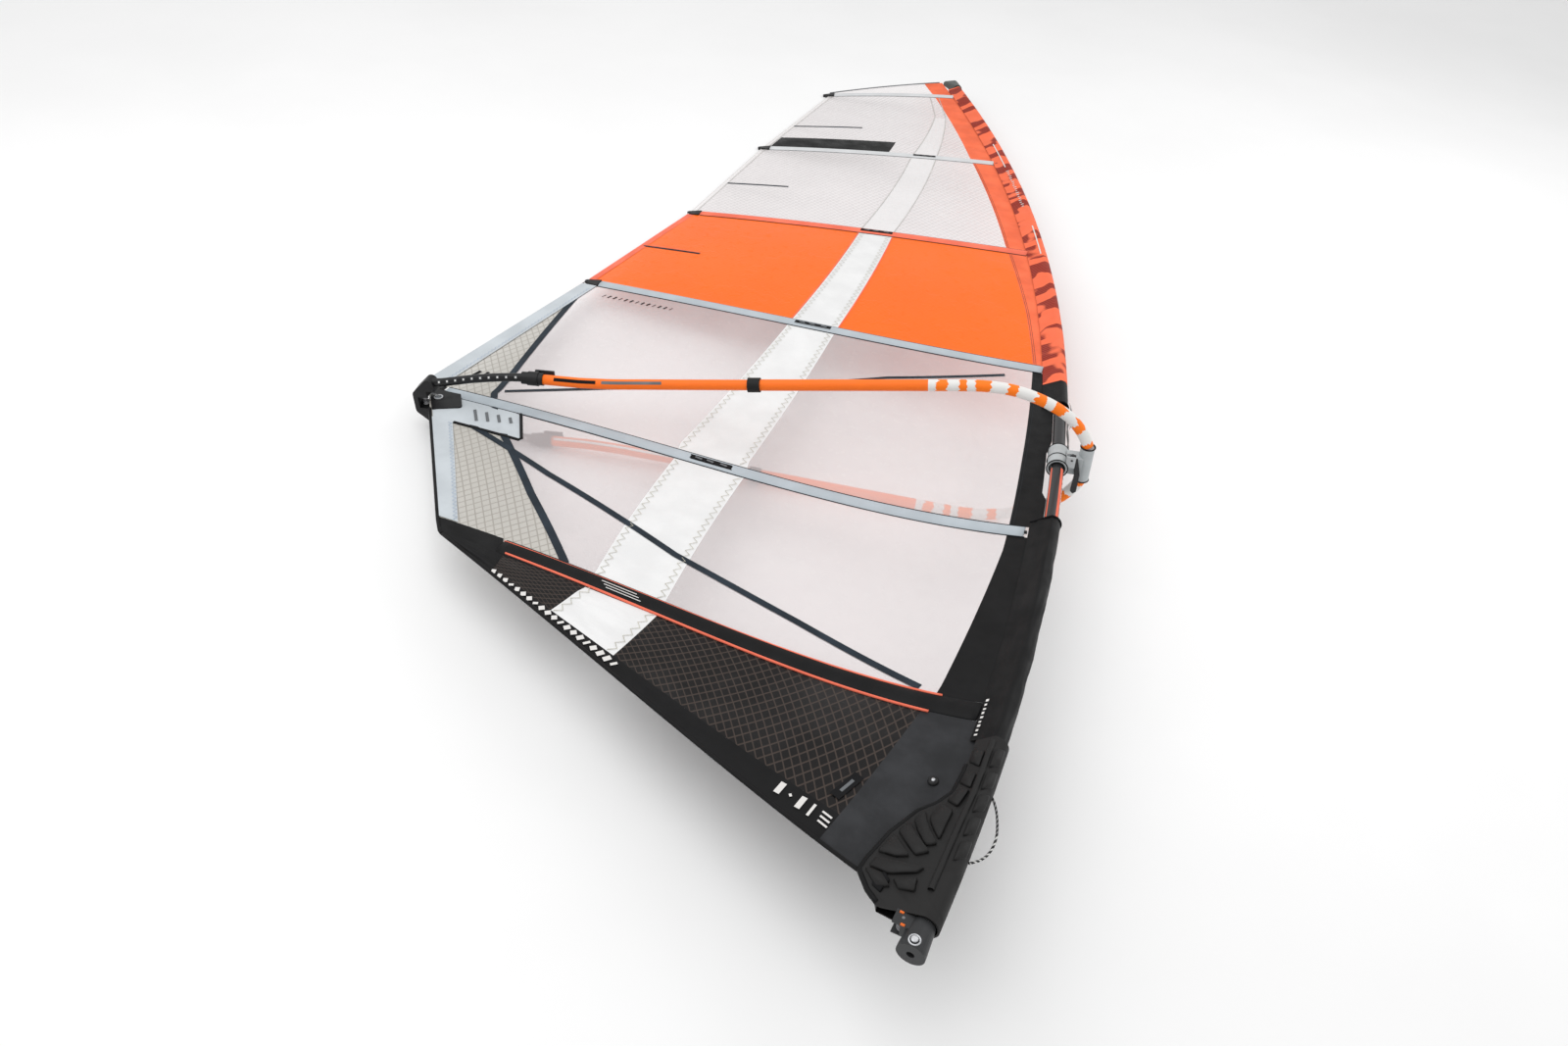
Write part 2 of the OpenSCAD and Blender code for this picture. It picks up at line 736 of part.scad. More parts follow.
module upper_collar_lever() {
    color(mid_grey) laid() at_boom() translate([0, 0, tail_half]) collar_lever();
}

module lower_collar_lever() {
    color(mid_grey) laid() at_boom() translate([0, 0, -tail_half]) collar_lever();
}

head_x = 72;
clamp_turn = boom_tilt + 2.74;
liner_r = 19.3;
pin = [34, -29.5, 32];

// The clamp's bore lies along the mast, which leans away from the boom's own axes
module in_clamp() {
    rotate([0, 0, -clamp_turn]) children();
}

module clamp_slit() {
    translate([-40, -50, -6]) cube([30, 100, 12]);
}

module boom_head() {
    color(pale_grey) laid() at_boom()
        difference() {
            union() {
                translate([head_x, 0, 0]) cylinder(r = 19, h = 104, center = true);
                in_clamp() {
                    translate([20, -20, -25]) cube([45, 40, 50]);
                    rotate([90, 0, 0]) cylinder(r = 28, h = 80, center = true);
                    for (y = [-40, -23])
                        translate([20, y, 8]) cube([24, 4, 34]);
                }
            }
            in_clamp() {
                rotate([90, 0, 0]) cylinder(r = 22, h = 100, center = true);
                clamp_slit();
                translate([pin.x, -50, pin.z]) rotate([-90, 0, 0]) cylinder(r = 3, h = 60);
            }
        }
}

module clamp_liner() {
    color(black) laid() at_boom() in_clamp()
        difference() {
            rotate([90, 0, 0]) cylinder(r = 21.9, h = 84, center = true);
            rotate([90, 0, 0]) cylinder(r = liner_r, h = 100, center = true);
            clamp_slit();
        }
}

module lever_plate(outline) {
    translate([0, pin.y, 0]) rotate([90, 0, 0]) linear_extrude(11, center = true) polygon(outline);
}

module clamp_lever() {
    color(mid_grey) laid() at_boom() in_clamp() {
        translate([pin.x, pin.y - 11.5, pin.z]) rotate([-90, 0, 0]) cylinder(r = 2.95, h = 24);
        difference() {
            lever_plate([[28, 24], [40, 26], [44, 40], [34, 44], [28, 36]]);
            translate([pin.x, -60, pin.z]) rotate([-90, 0, 0]) cylinder(r = 2.95, h = 60);
        }
        lever_plate([[40, 30], [40, 20], [48, -20], [46, -70], [54, -78], [62, -70], [62, -14],
                     [50, 30]]);
    }
}

roller_x = tail_x - 26;
roller_r = 8.5;
roller_z = 9;
roller_gap = 18;

module tail_end() {
    color(black) laid() at_boom()
        difference() {
            hull() both_arms() {
                translate([tail_x - 2, 0, tail_z - 2]) tail_post(36);
                translate([tail_x - 36, 0, 24]) tail_post(44);
            }
            translate([tail_x - 10, -40, -38]) cube([60, 80, 76]);
            translate([roller_x - 12, -24, -roller_gap]) cube([60, 48, 2 * roller_gap]);
            translate([roller_x, 0, 0]) cylinder(r = 2.5, h = 80, center = true);
            both_arms()
                translate([tail_x - 1, 0, tail_z]) rotate([0, 90, 0]) cylinder(r = tail_r + 0.1, h = 60);
        }
}

module tail_post(h) {
    rotate([90, 0, 0]) cylinder(r = 16, h = h, center = true, $fn = 32);
}

// The two rollers that carry the outhaul, on one pin that turns in the block
module outhaul_sheaves() {
    color(steel) laid() at_boom() translate([roller_x, 0, 0]) {
        both_arms()
            translate([0, 0, roller_z]) rotate_extrude($fn = 36)
                polygon([[0, -5], [roller_r, -5], [roller_r - 2.3, 0], [roller_r, 5], [0, 5]]);
        cylinder(r = 2.44, h = 50, center = true);
    }
}

OUTHAUL = [[-1513, 1467, 10.6], [-1524, 1470, 12], [-1540, 1472, 11], [-1553, 1470.6, 9]];

module outhaul_line() {
    color(white) laid() both_arms() rod(smooth(OUTHAUL, 3), 1.8, 8);
}

mast_bottom();
mast_top();
mast_ferrule();
head_cap();
sleeve_upper();
sleeve_lower();
luff_band();
luff_panel();
head_panel();
upper_panels_fore();
upper_panel_aft();
middle_panel_aft();
orange_panel_fore();
orange_panel_aft();
window_upper_fore();
window_upper_aft();
window_lower_fore();
window_lower_aft();
leech_scrim();
foot_panel_fore();
foot_panel_aft();
tack_panel();
foot_trim();
fold_strip();
batten_pockets();
foot_batten_pocket();
battens();
batten_tips();
batten_connectors();
batten_tensioners();
mini_battens();
scrim_tapes();
load_tapes();
leech_tapes();
clew_patch();
clew_plate();
clew_ring();
corner_patch();
head_label();
mast_pad();
extension_tube();
base_housing();
release_button();
base_sheaves();
tack_block();
tack_sheaves();
downhaul_line();
downhaul_tail();
boom_head();
clamp_liner();
clamp_lever();
boom_arms();
harness_collars();
arm_collars();
upper_collar_lever();
lower_collar_lever();
tail_tubes();
tail_end();
outhaul_sheaves();
outhaul_line();
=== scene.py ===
import json
import math

import bpy
import numpy as np
from mathutils import Matrix, Vector, noise


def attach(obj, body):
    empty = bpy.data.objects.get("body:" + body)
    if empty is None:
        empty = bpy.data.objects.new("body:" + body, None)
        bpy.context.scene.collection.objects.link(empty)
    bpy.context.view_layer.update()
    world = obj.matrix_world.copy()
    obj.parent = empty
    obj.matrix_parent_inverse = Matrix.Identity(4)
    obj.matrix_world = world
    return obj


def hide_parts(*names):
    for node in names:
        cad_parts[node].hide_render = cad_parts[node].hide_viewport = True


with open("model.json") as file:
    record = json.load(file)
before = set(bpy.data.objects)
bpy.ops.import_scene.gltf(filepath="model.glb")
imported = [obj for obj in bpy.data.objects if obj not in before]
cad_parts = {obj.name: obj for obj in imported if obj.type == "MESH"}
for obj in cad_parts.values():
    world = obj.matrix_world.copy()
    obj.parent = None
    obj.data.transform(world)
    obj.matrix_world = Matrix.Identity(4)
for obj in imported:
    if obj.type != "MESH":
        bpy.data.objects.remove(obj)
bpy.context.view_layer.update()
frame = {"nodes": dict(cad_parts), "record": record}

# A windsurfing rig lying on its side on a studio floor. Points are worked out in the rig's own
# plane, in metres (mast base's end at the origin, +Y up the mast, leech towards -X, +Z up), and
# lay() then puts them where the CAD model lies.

# ---- How the rig lies, as in the CAD model ----
REST_ROLL = math.radians(-4.84)
REST_PITCH = math.radians(-2.23)
SHIFT = np.array([0.6150, -2.3485, 0.28445])


def turn_x(a):
    return np.array([[1, 0, 0], [0, math.cos(a), -math.sin(a)], [0, math.sin(a), math.cos(a)]])


def turn_y(a):
    return np.array([[math.cos(a), 0, math.sin(a)], [0, 1, 0], [-math.sin(a), 0, math.cos(a)]])


def turn_z(a):
    return np.array([[math.cos(a), -math.sin(a), 0], [math.sin(a), math.cos(a), 0], [0, 0, 1]])


LAY = turn_y(REST_ROLL) @ turn_x(REST_PITCH)


def lay(points):
    return np.asarray(points, float) @ LAY.T + SHIFT


# ---- The sail's shape ----
BEND = (0.290, -0.087, 0.0029)
# Height at the mast, leech x, leech y, belly, leech droop
CHORDS = np.array([
    (0.070, -1.250, 0.893, 0.025, 0.000),
    (0.545, -1.262, 0.905, 0.052, 0.000),
    (0.600, -1.285, 0.945, 0.055, 0.000),
    (1.195, -1.575, 1.520, 0.045, 0.000),
    (1.240, -1.592, 1.570, 0.044, 0.000),
    (1.990, -1.350, 2.286, 0.008, 0.010),
    (2.805, -1.173, 3.023, 0.002, 0.055),
    (3.665, -1.029, 3.749, 0.000, 0.045),
    (4.495, -0.840, 4.478, 0.000, 0.030),
    (4.720, -0.850, 4.500, 0.000, 0.028)])
FOOT = 0.070
HEAD = 4.720
BATTENS = (4.495, 3.665, 2.805, 1.990, 1.195)
FOOT_BATTEN = 0.572
HALF_POCKET = 0.021
FOOT_HALF = 0.027
POCKET_H = 0.013
SLEEVE_AFT = 0.050
SLEEVE_R = 0.023
SEAM_HALF = 0.003
PAD_NOSE = 0.031
PAD_HALF = 0.009
CUTOUT = (1.240, 1.790)
MAST_LENGTH = 4.650
MAST_R = 0.018
TIP_R = 0.011
JOINT_Y = 2.250
PAD_LOW = 0.058
PAD_TOP = 0.487
FOLD_END = 4.180
LUFF_EDGE = np.array([
    (0.070, 0.255), (0.194, 0.232), (0.530, 0.172), (0.610, 0.150), (1.120, 0.102),
    (1.480, 0.096), (2.010, 0.080), (2.350, 0.092), (2.850, 0.124), (3.700, 0.143),
    (4.720, 0.140)])
FOLD_AFT = np.array([
    (0.070, 0.730), (0.454, 0.709), (0.563, 0.698), (1.190, 0.560), (2.005, 0.537),
    (2.825, 0.490), (3.655, 0.375), (4.200, 0.250)])
FOLD_FORE = np.array([
    (0.070, 0.590), (0.560, 0.567), (1.190, 0.447), (2.015, 0.440), (2.825, 0.399),
    (3.645, 0.278), (4.200, 0.190)])
SCRIM = np.array([
    (0.570, 0.734), (0.823, 0.811), (1.106, 0.874), (1.267, 0.882), (1.366, 0.895),
    (1.960, 0.992)])
PAD_AFT = np.array([
    (0.065, 0.088), (0.085, 0.118), (0.118, 0.148), (0.145, 0.145),
    (0.216, 0.126), (0.282, 0.094), (0.312, 0.064), (0.345, 0.044), (0.400, 0.038),
    (0.487, 0.037)])


def table(rows, w, column=1):
    return np.interp(w, rows[:, 0], rows[:, column])


def mast_x(y):
    return BEND[0] * y + BEND[1] * y ** 2 + BEND[2] * y ** 3


def chord(w):
    return np.hypot(table(CHORDS, w) - mast_x(w), table(CHORDS, w, 2) - w)


def on_mast(y):
    """Points of the mast's axis at these heights."""
    return np.stack([mast_x(y), y, np.zeros_like(y)], axis=1)


def cloth(w, s, lift=0.0):
    """Points of the sail at height w on the mast and fraction s of the chord."""
    w, s = np.broadcast_arrays(np.asarray(w, float), np.asarray(s, float))
    x0, x1, y1 = mast_x(w), table(CHORDS, w), table(CHORDS, w, 2)
    q = np.clip(s, 0, 1)
    drop = table(CHORDS, w, 3) * 8.117 * q * (1 - q) ** 2.5 + table(CHORDS, w, 4) * q * q
    return np.stack([x0 + (x1 - x0) * s, w + (y1 - w) * s, lift - drop], axis=-1)


def offset(distance):
    """The chord fraction that lies this far behind the mast axis, as a function of height."""
    return lambda w: distance / chord(w)


def line(rows):
    return lambda w: table(rows, w)


def at(fraction):
    return lambda w: np.full_like(np.asarray(w, float), fraction)


def luff_edge(w):
    return table(LUFF_EDGE, w) / chord(w)


sleeve_edge = offset(SLEEVE_AFT)
fold_aft = line(FOLD_AFT)
fold_fore = line(FOLD_FORE)
scrim_edge = line(SCRIM)
leech = at(1.0)

# ---- Boom ----
BOOM_Y = 1.524
BOOM_TILT = math.radians(2.06)
CLAMP_TURN = math.radians(4.80)
ACROSS = (0, 1, 0)
TAIL_HALF = 0.104
ARM_R = 0.0155
TAIL_R = 0.012
ARM_STRAIGHT = ((-1.475, TAIL_HALF), (-1.405, TAIL_HALF))
ARM_BEND = ((-1.335, TAIL_HALF), (-1.240, 0.1095), (-1.144, 0.119), (-0.838, 0.150),
            (-0.544, 0.181), (-0.304, 0.206), (-0.224, 0.212), (-0.154, 0.208), (-0.094, 0.193),
            (-0.039, 0.170), (0.006, 0.142), (0.038, 0.110), (0.060, 0.078), (0.070, 0.056))
TUBE_STRAIGHT = ((-1.345, TAIL_HALF), (-1.425, TAIL_HALF))
TUBE_BEND = ((-1.505, TAIL_HALF), (-1.570, 0.0975), (-1.650, 0.084), (-1.710, 0.0705),
             (-1.750, 0.062), (-1.780, 0.060))


def boom_to_rig(points):
    return np.asarray(points, float) @ turn_z(BOOM_TILT).T + np.array([mast_x(BOOM_Y), BOOM_Y, 0])


BASE_TURN = -math.atan(BEND[0])


def base_to_rig(points):
    return np.asarray(points, float) @ turn_z(BASE_TURN).T


def smooth(points, steps):
    """A Catmull-Rom curve through given points."""
    p = np.asarray(points, float)
    p = np.vstack([p[0], p, p[-1]])
    out = []
    for i in range(len(p) - 3):
        a, b, c, d = p[i:i + 4]
        for t in np.arange(steps) / steps:
            out.append(0.5 * (2 * b + (c - a) * t + (2 * a - 5 * b + 4 * c - d) * t * t
                              + (3 * b - a - 3 * c + d) * t ** 3))
    out.append(p[-2])
    return np.array(out)


# ---- Camera, at the photograph's place and angle ----
CAMERA_AT = (-0.0448, -1.0334, 1.7531)
CAMERA_AZ = 10.184
CAMERA_EL = 38.887
CAMERA_ROLL = 0.936
LENS = 25.449


def make_camera():
    az, el, roll = (math.radians(a) for a in (CAMERA_AZ, CAMERA_EL, CAMERA_ROLL))
    back = np.array([math.sin(az) * math.cos(el), -math.cos(az) * math.cos(el), math.sin(el)])
    right = np.cross([0, 0, 1], back)
    right /= np.linalg.norm(right)
    up = np.cross(back, right)
    right, up = (right * math.cos(roll) + up * math.sin(roll),
                 up * math.cos(roll) - right * math.sin(roll))
    turned = (LAY @ np.array([right, up, back]).T)
    place = Matrix([[*turned[i], p] for i, p in enumerate(lay([CAMERA_AT])[0])] + [[0, 0, 0, 1]])
    data = bpy.data.cameras.new("camera")
    data.sensor_width = 36
    data.lens = LENS
    data.clip_end = 60
    camera = bpy.data.objects.new("camera", data)
    bpy.context.scene.collection.objects.link(camera)
    camera.matrix_world = place
    bpy.context.scene.camera = camera


# ---- Mesh helpers ----
SLOT_OF = {part["node"]: part["material_slot"] for part in frame["record"]["subparts"]}


def add_mesh(name, points, faces, materials, uv, index, body):
    """A piece from points in the rig's plane; uv has one (u, v) in metres per point."""
    name = name.replace(" ", "_")
    mesh = bpy.data.meshes.new(name)
    mesh.from_pydata([tuple(p) for p in lay(points)], [], [tuple(int(i) for i in f) for f in faces])
    for m in materials if isinstance(materials, list) else [materials]:
        mesh.materials.append(m)
    mesh.polygons.foreach_set("material_index", [int(i) for i in index])
    loops = np.empty(len(mesh.loops), int)
    mesh.loops.foreach_get("vertex_index", loops)
    mesh.uv_layers.new(name="UVMap").data.foreach_set("uv", uv[loops].ravel())
    mesh.polygons.foreach_set("use_smooth", [True] * len(mesh.polygons))
    mesh.update()
    piece = bpy.data.objects.new(name, mesh)
    bpy.context.scene.collection.objects.link(piece)
    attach(piece, body)
    return piece


class Parts:
    """Points and faces of one piece, gathered from several simple surfaces."""

    def __init__(self):
        self.points, self.faces, self.uv, self.index, self.count = [], [], [], [], 0

    def face(self, corners, mat, flip):
        self.faces.append(corners[::-1] if flip else corners)
        self.index.append(mat)

    def grid(self, points, uv=None, mat=0, loop=False, flip=False):
        """points has shape (rows, columns, 3); loop closes each row on itself."""
        rows, cols = points.shape[:2]
        base = self.count
        for i in range(rows - 1):
            row, after = base + i * cols, base + (i + 1) * cols
            for j in range(cols if loop else cols - 1):
                k = (j + 1) % cols
                self.face([row + j, row + k, after + k, after + j],
                          mat(i, j) if callable(mat) else mat, flip)
        self.points.append(points.reshape(-1, 3))
        self.uv.append((points[..., :2] if uv is None else uv).reshape(-1, 2))
        self.count += rows * cols
        return base

    def cap(self, ring_base, cols, flip=False, mat=0):
        self.face([ring_base + j for j in range(cols)], mat, flip)

    def tube(self, path, radius, sides, ref=(0, 0, 1), mat=0, end=0, flip=False, wall=0.0):
        """A tube along a path, with caps or a bore; end is the look of its last cap."""
        base = self.grid(*tube_grid(path, radius, sides, ref), mat, loop=True, flip=flip)
        last = (len(path) - 1) * sides
        if not wall:
            self.cap(base, sides, flip=not flip)
            self.cap(base + last, sides, flip=flip, mat=end)
            return
        bore = self.grid(*tube_grid(path, np.asarray(radius) - wall, sides, ref), loop=True,
                         flip=True)
        for row, turned in ((0, True), (last, False)):
            for j in range(sides):
                k = (j + 1) % sides
                self.face([base + row + j, base + row + k, bore + row + k, bore + row + j], 0,
                          turned)

    def make(self, name, materials, body="root"):
        return add_mesh(name, np.vstack(self.points), self.faces, materials, np.vstack(self.uv),
                        self.index, body)

    def stand_in(self, node, materials, name=None):
        """The piece that is shown in place of a CAD node, which is hidden."""
        return stand_in(self.make(name or node, materials), node)


def stand_in(piece, node):
    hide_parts(node)
    return piece


def panel_grid(low, high, fore, aft, cell=0.03, lift=0.0):
    """Points of the sail between two heights and two edges."""
    w = np.linspace(low, high, max(2, int(round((high - low) / cell)) + 1))
    a, b = fore(w), aft(w)
    cols = max(2, int(round(float(np.max((b - a) * chord(w))) / cell)) + 1)
    s = a[:, None] + (b - a)[:, None] * np.linspace(0, 1, cols)[None, :]
    ww = np.repeat(w[:, None], cols, axis=1)
    return cloth(ww, s, lift), np.stack([s * chord(ww), ww], axis=-1)


def frames_along(path, ref):
    """Tangents, side and up vectors of a path."""
    p = np.asarray(path, float)
    t = np.gradient(p, axis=0)
    t /= np.linalg.norm(t, axis=1)[:, None]
    a = np.cross(ref, t)
    a /= np.linalg.norm(a, axis=1)[:, None]
    return t, a, np.cross(t, a)


def stations(path):
    """How far along a path each of its points is."""
    return np.concatenate([[0], np.cumsum(np.linalg.norm(np.diff(path, axis=0), axis=1))])


def uv_grid(path, across):
    return np.stack(np.meshgrid(stations(path), across, indexing="ij"), axis=-1)


def set_out(path, outline, ref=(0, 0, 1)):
    """An outline of (side, up) points, set square to a path at each of its points."""
    _, a, b = frames_along(path, ref)
    return path[:, None] + outline[..., :1] * a[:, None] + outline[..., 1:] * b[:, None]


def arc_grid(path, radius, angle, across, ref):
    """Points round a path at these angles; radius is a number or one per point."""
    p = np.asarray(path, float)
    r = np.broadcast_to(radius, (len(p),))[:, None, None]
    circle = np.stack([np.cos(angle), np.sin(angle)], axis=-1)
    return set_out(p, r * circle, ref), uv_grid(p, across)


def tube_grid(path, radius, sides, ref=(0, 0, 1)):
    angle = np.linspace(0, 2 * math.pi, sides, endpoint=False)
    return arc_grid(path, radius, angle, angle / (2 * math.pi), ref)


def add_tube(name, path, radius, material, sides=20, ref=(0, 0, 1), body="root", wall=0.0):
    parts = Parts()
    parts.tube(path, radius, sides, ref, wall=wall)
    return parts.make(name, material, body)


def ribbon(parts, path, width, lift=0.0):
    """A flat strip along a path on the sail."""
    p = np.asarray(path, float) + (0, 0, lift)
    parts.grid(set_out(p, np.array([(width / 2, 0), (-width / 2, 0)])), uv_grid(p, (0, width)))


def sail_line(pairs, steps=8, lift=0.0):
    """Points along straight [height, fraction] runs on the sail."""
    p = np.asarray(pairs, float)
    q = [p[i] + (p[i + 1] - p[i]) * t for i in range(len(p) - 1) for t in np.arange(steps) / steps]
    q = np.array(q + [p[-1]])
    return cloth(q[:, 0], q[:, 1], lift)


def stripe(parts, runs, steps, width, lift=0.0):
    """A ribbon along straight [height, fraction] runs on the sail."""
    ribbon(parts, sail_line(runs, steps), width, lift)


def resample(path, step):
    """The same path, with its points a step apart."""
    p = np.asarray(path, float)
    along = stations(p)
    d = np.linspace(0, along[-1], max(2, int(along[-1] / step) + 1))
    return np.stack([np.interp(d, along, p[:, k]) for k in range(3)], axis=1)


def zigzag(parts, path, width, pitch, thread, lift=0.0022):
    """A zigzag stitch: a thin strip that crosses from side to side of a line."""
    p = resample(path, pitch)
    _, a, _ = frames_along(p, (0, 0, 1))
    side = np.where(np.arange(len(p)) % 2 == 0, 1.0, -1.0)[:, None]
    ribbon(parts, p + a * side * width / 2, thread, lift)


# ---- Materials ----
WAVE_PITCH = 0.314      # a wave texture repeats every WAVE_PITCH / scale


class Look:
    """A procedural material, built up node by node."""

    def __init__(self, name, source="UV", stretch=(1, 1, 1)):
        self.mat = bpy.data.materials.new(name)
        self.mat.use_nodes = True
        self.tree = self.mat.node_tree
        self.shader = self.tree.nodes["Principled BSDF"]
        coords = self.node("TexCoord")
        self.at = self.node("Mapping", Vector=coords.outputs[source], Scale=stretch).outputs[0]

    def node(self, kind, **inputs):
        """A new node, with its inputs fed by name."""
        node = self.tree.nodes.new("ShaderNode" + kind)
        for key, value in inputs.items():
            self.feed(value, node.inputs[key.replace("_", " ")])
        return node

    def feed(self, value, socket):
        """Links another node's output to a socket, or sets the socket's own value."""
        if hasattr(value, "is_output"):
            self.tree.links.new(value, socket)
        else:
            socket.default_value = (*value, 1.0) if socket.type == "RGBA" else value

    def noise(self, scale, detail=3.0, rough=0.55):
        return self.node("TexNoise", Vector=self.at, Scale=scale, Detail=detail,
                         Roughness=rough).outputs["Fac"]

    def wave(self, scale, direction="X", distortion=0.0, at=None, wobble=2.0):
        n = self.node("TexWave", Vector=at or self.at, Scale=scale, Distortion=distortion,
                      Detail_Scale=wobble)
        n.bands_direction = direction
        return n.outputs["Fac"]

    def turned(self, degrees, stretch=(1, 1, 1)):
        return self.node("Mapping", Vector=self.at, Rotation=(0, 0, math.radians(degrees)),
                         Scale=stretch).outputs[0]

    def math(self, kind, a, b):
        n = self.node("Math")
        n.operation = kind
        self.feed(a, n.inputs[0])
        self.feed(b, n.inputs[1])
        return n.outputs[0]

    def times(self, a, b):
        return self.math("MULTIPLY", a, b)

    def ramp(self, value, low, high, a=0.0, b=1.0):
        n = self.node("MapRange", Value=value, From_Min=low, From_Max=high, To_Min=a, To_Max=b)
        n.interpolation_type = "SMOOTHSTEP"
        return n.outputs["Result"]

    def mix(self, factor, a, b):
        n = self.node("Mix")
        n.data_type = "RGBA"
        for value, k in ((factor, 0), (a, 6), (b, 7)):
            self.feed(value, n.inputs[k])
        return n.outputs[2]

    def bump(self, height, strength, distance):
        n = self.node("Bump", Strength=strength, Distance=distance, Height=height)
        self.feed(n.outputs["Normal"], self.shader.inputs["Normal"])

    def done(self, colour, roughness, alpha=1.0, specular=0.3, **settings):
        """The finished material; settings are more inputs of its shader."""
        inputs = {"Base_Color": colour, "Roughness": roughness, "Alpha": alpha,
                  "Specular_IOR_Level": specular, **settings}
        for key, value in inputs.items():
            self.feed(value, self.shader.inputs[key.replace("_", " ")])
        return self.mat


def shade(colour, k):
    return tuple(min(1.0, c * k) for c in colour)


def weave(look, threads):
    """Crossing threads, as a height and as the share of the colour they darken."""
    height = look.times(look.wave(threads, "X"), look.wave(threads, "Y"))
    look.bump(look.math("ADD", height, look.times(look.noise(30), 0.6)), 0.25, 0.0005)
    return height


def cloth_look(name, colour, threads=140, wear=0.16, roughness=0.75):
    look = Look(name)
    height = weave(look, threads)
    base = look.mix(look.ramp(look.noise(9, 5), 0.35, 0.7), shade(colour, 1 - wear),
                    shade(colour, 1 + wear * 0.6))
    base = look.mix(look.times(height, 0.25), base, shade(colour, 0.62))
    rough = look.ramp(look.noise(14), 0.3, 0.75, roughness - 0.1, roughness + 0.12)
    return look.done(base, rough, specular=0.15, Sheen_Weight=0.01)


def film_look(name, colour, alpha, grid=0.0, angle=0.0, spacing=0.009, grid_colour=None,
              roughness=0.22):
    """Polyester film with wrinkles, handling marks and, where it has one, a grid of threads."""
    look = Look(name)
    creases = look.ramp(look.noise(5.5, 6, 0.62), 0.46, 0.5)
    marks = look.ramp(look.noise(38, 5), 0.5, 0.74)
    base = look.mix(look.times(marks, 0.5), colour, shade(colour, 0.93))
    base = look.mix(look.times(look.ramp(look.noise(2.4, 2), 0.3, 0.7), 0.6), base,
                    shade(colour, 0.95))
    cover = look.ramp(look.noise(3.2, 3), 0.25, 0.75, alpha - 0.035, alpha + 0.035)
    height = look.math("ADD", look.times(creases, 0.5), look.noise(3.0, 2))
    if grid:
        threads = [look.ramp(look.wave(WAVE_PITCH / spacing, "X", at=look.turned(turn)), 0.9, 0.985)
                   for turn in (angle, -angle)]
        lines = look.math("MAXIMUM", *threads)
        base = look.mix(look.times(lines, grid), base, grid_colour)
        cover = look.math("MAXIMUM", cover, look.times(lines, min(1.0, alpha + 0.25)))
        height = look.math("ADD", height, look.times(lines, 0.15))
    look.bump(height, 0.22, 0.004)
    rough = look.ramp(marks, 0.0, 1.0, roughness, roughness + 0.16)
    return look.done(base, rough, cover, 0.16, Coat_Weight=0.05)


def plastic_look(name, colour, source="Object", roughness=0.42, grain=260, wear=0.25):
    look = Look(name, source)
    smear = look.ramp(look.noise(22, 5), 0.4, 0.72)
    base = look.mix(smear, shade(colour, 1 - wear * 0.5), shade(colour, 1 + wear))
    base = look.mix(look.ramp(look.noise(90, 6, 0.7), 0.63, 0.7, 0.0, 0.35), base,
                    shade(colour, 1.9))
    look.bump(look.noise(grain, 4), 0.2, 0.0004)
    return look.done(base, look.ramp(smear, 0, 1, roughness, roughness + 0.18))


def metal_look(name, colour):
    """Metal drawn or brushed along one direction."""
    look = Look(name, "Object", (1, 1, 12))
    brushed = look.noise(220, 5, 0.7)
    look.bump(brushed, 0.12, 0.0003)
    return look.done(look.mix(brushed, shade(colour, 0.8), colour),
                     look.ramp(brushed, 0.3, 0.7, 0.3, 0.45), Metallic=1.0)


def rope_look(name, colour, fleck, pitch=90):
    """Braid: two sets of slanting strands along the rope (u) and round it (v)."""
    look = Look(name)
    skew = look.turned(32, (1, 0.03, 1))
    strands = look.times(look.wave(pitch), look.wave(pitch, at=skew))
    base = look.mix(strands, shade(colour, 0.55), colour)
    base = look.mix(look.ramp(look.wave(pitch * 0.45, at=skew), 0.62, 0.7), base, fleck)
    look.bump(strands, 0.5, 0.0006)
    return look.done(base, look.ramp(look.noise(60), 0.3, 0.7, 0.7, 0.9))


def carbon_look(name):
    look = Look(name)
    twill = look.wave(70, "DIAGONAL", at=look.turned(0, (1, 0.11, 1)))
    scuff = look.ramp(look.noise(25, 6, 0.7), 0.6, 0.75)
    base = look.mix(twill, (0.012, 0.012, 0.013), (0.028, 0.028, 0.03))
    base = look.mix(look.times(scuff, 0.5), base, (0.11, 0.11, 0.11))
    look.bump(twill, 0.1, 0.0002)
    return look.done(base, look.ramp(scuff, 0, 1, 0.3, 0.55), Coat_Weight=0.3)


CORAL = (0.97, 0.175, 0.075)
CORAL_LIGHT = (0.98, 0.20, 0.12)
ORANGE = (1.0, 0.20, 0.006)
DARK_RED = (0.20, 0.010, 0.008)
BLACK = (0.0055, 0.0055, 0.006)
SLATE = (0.020, 0.030, 0.042)
PALE = (0.55, 0.59, 0.62)
WHITE = (0.80, 0.80, 0.80)

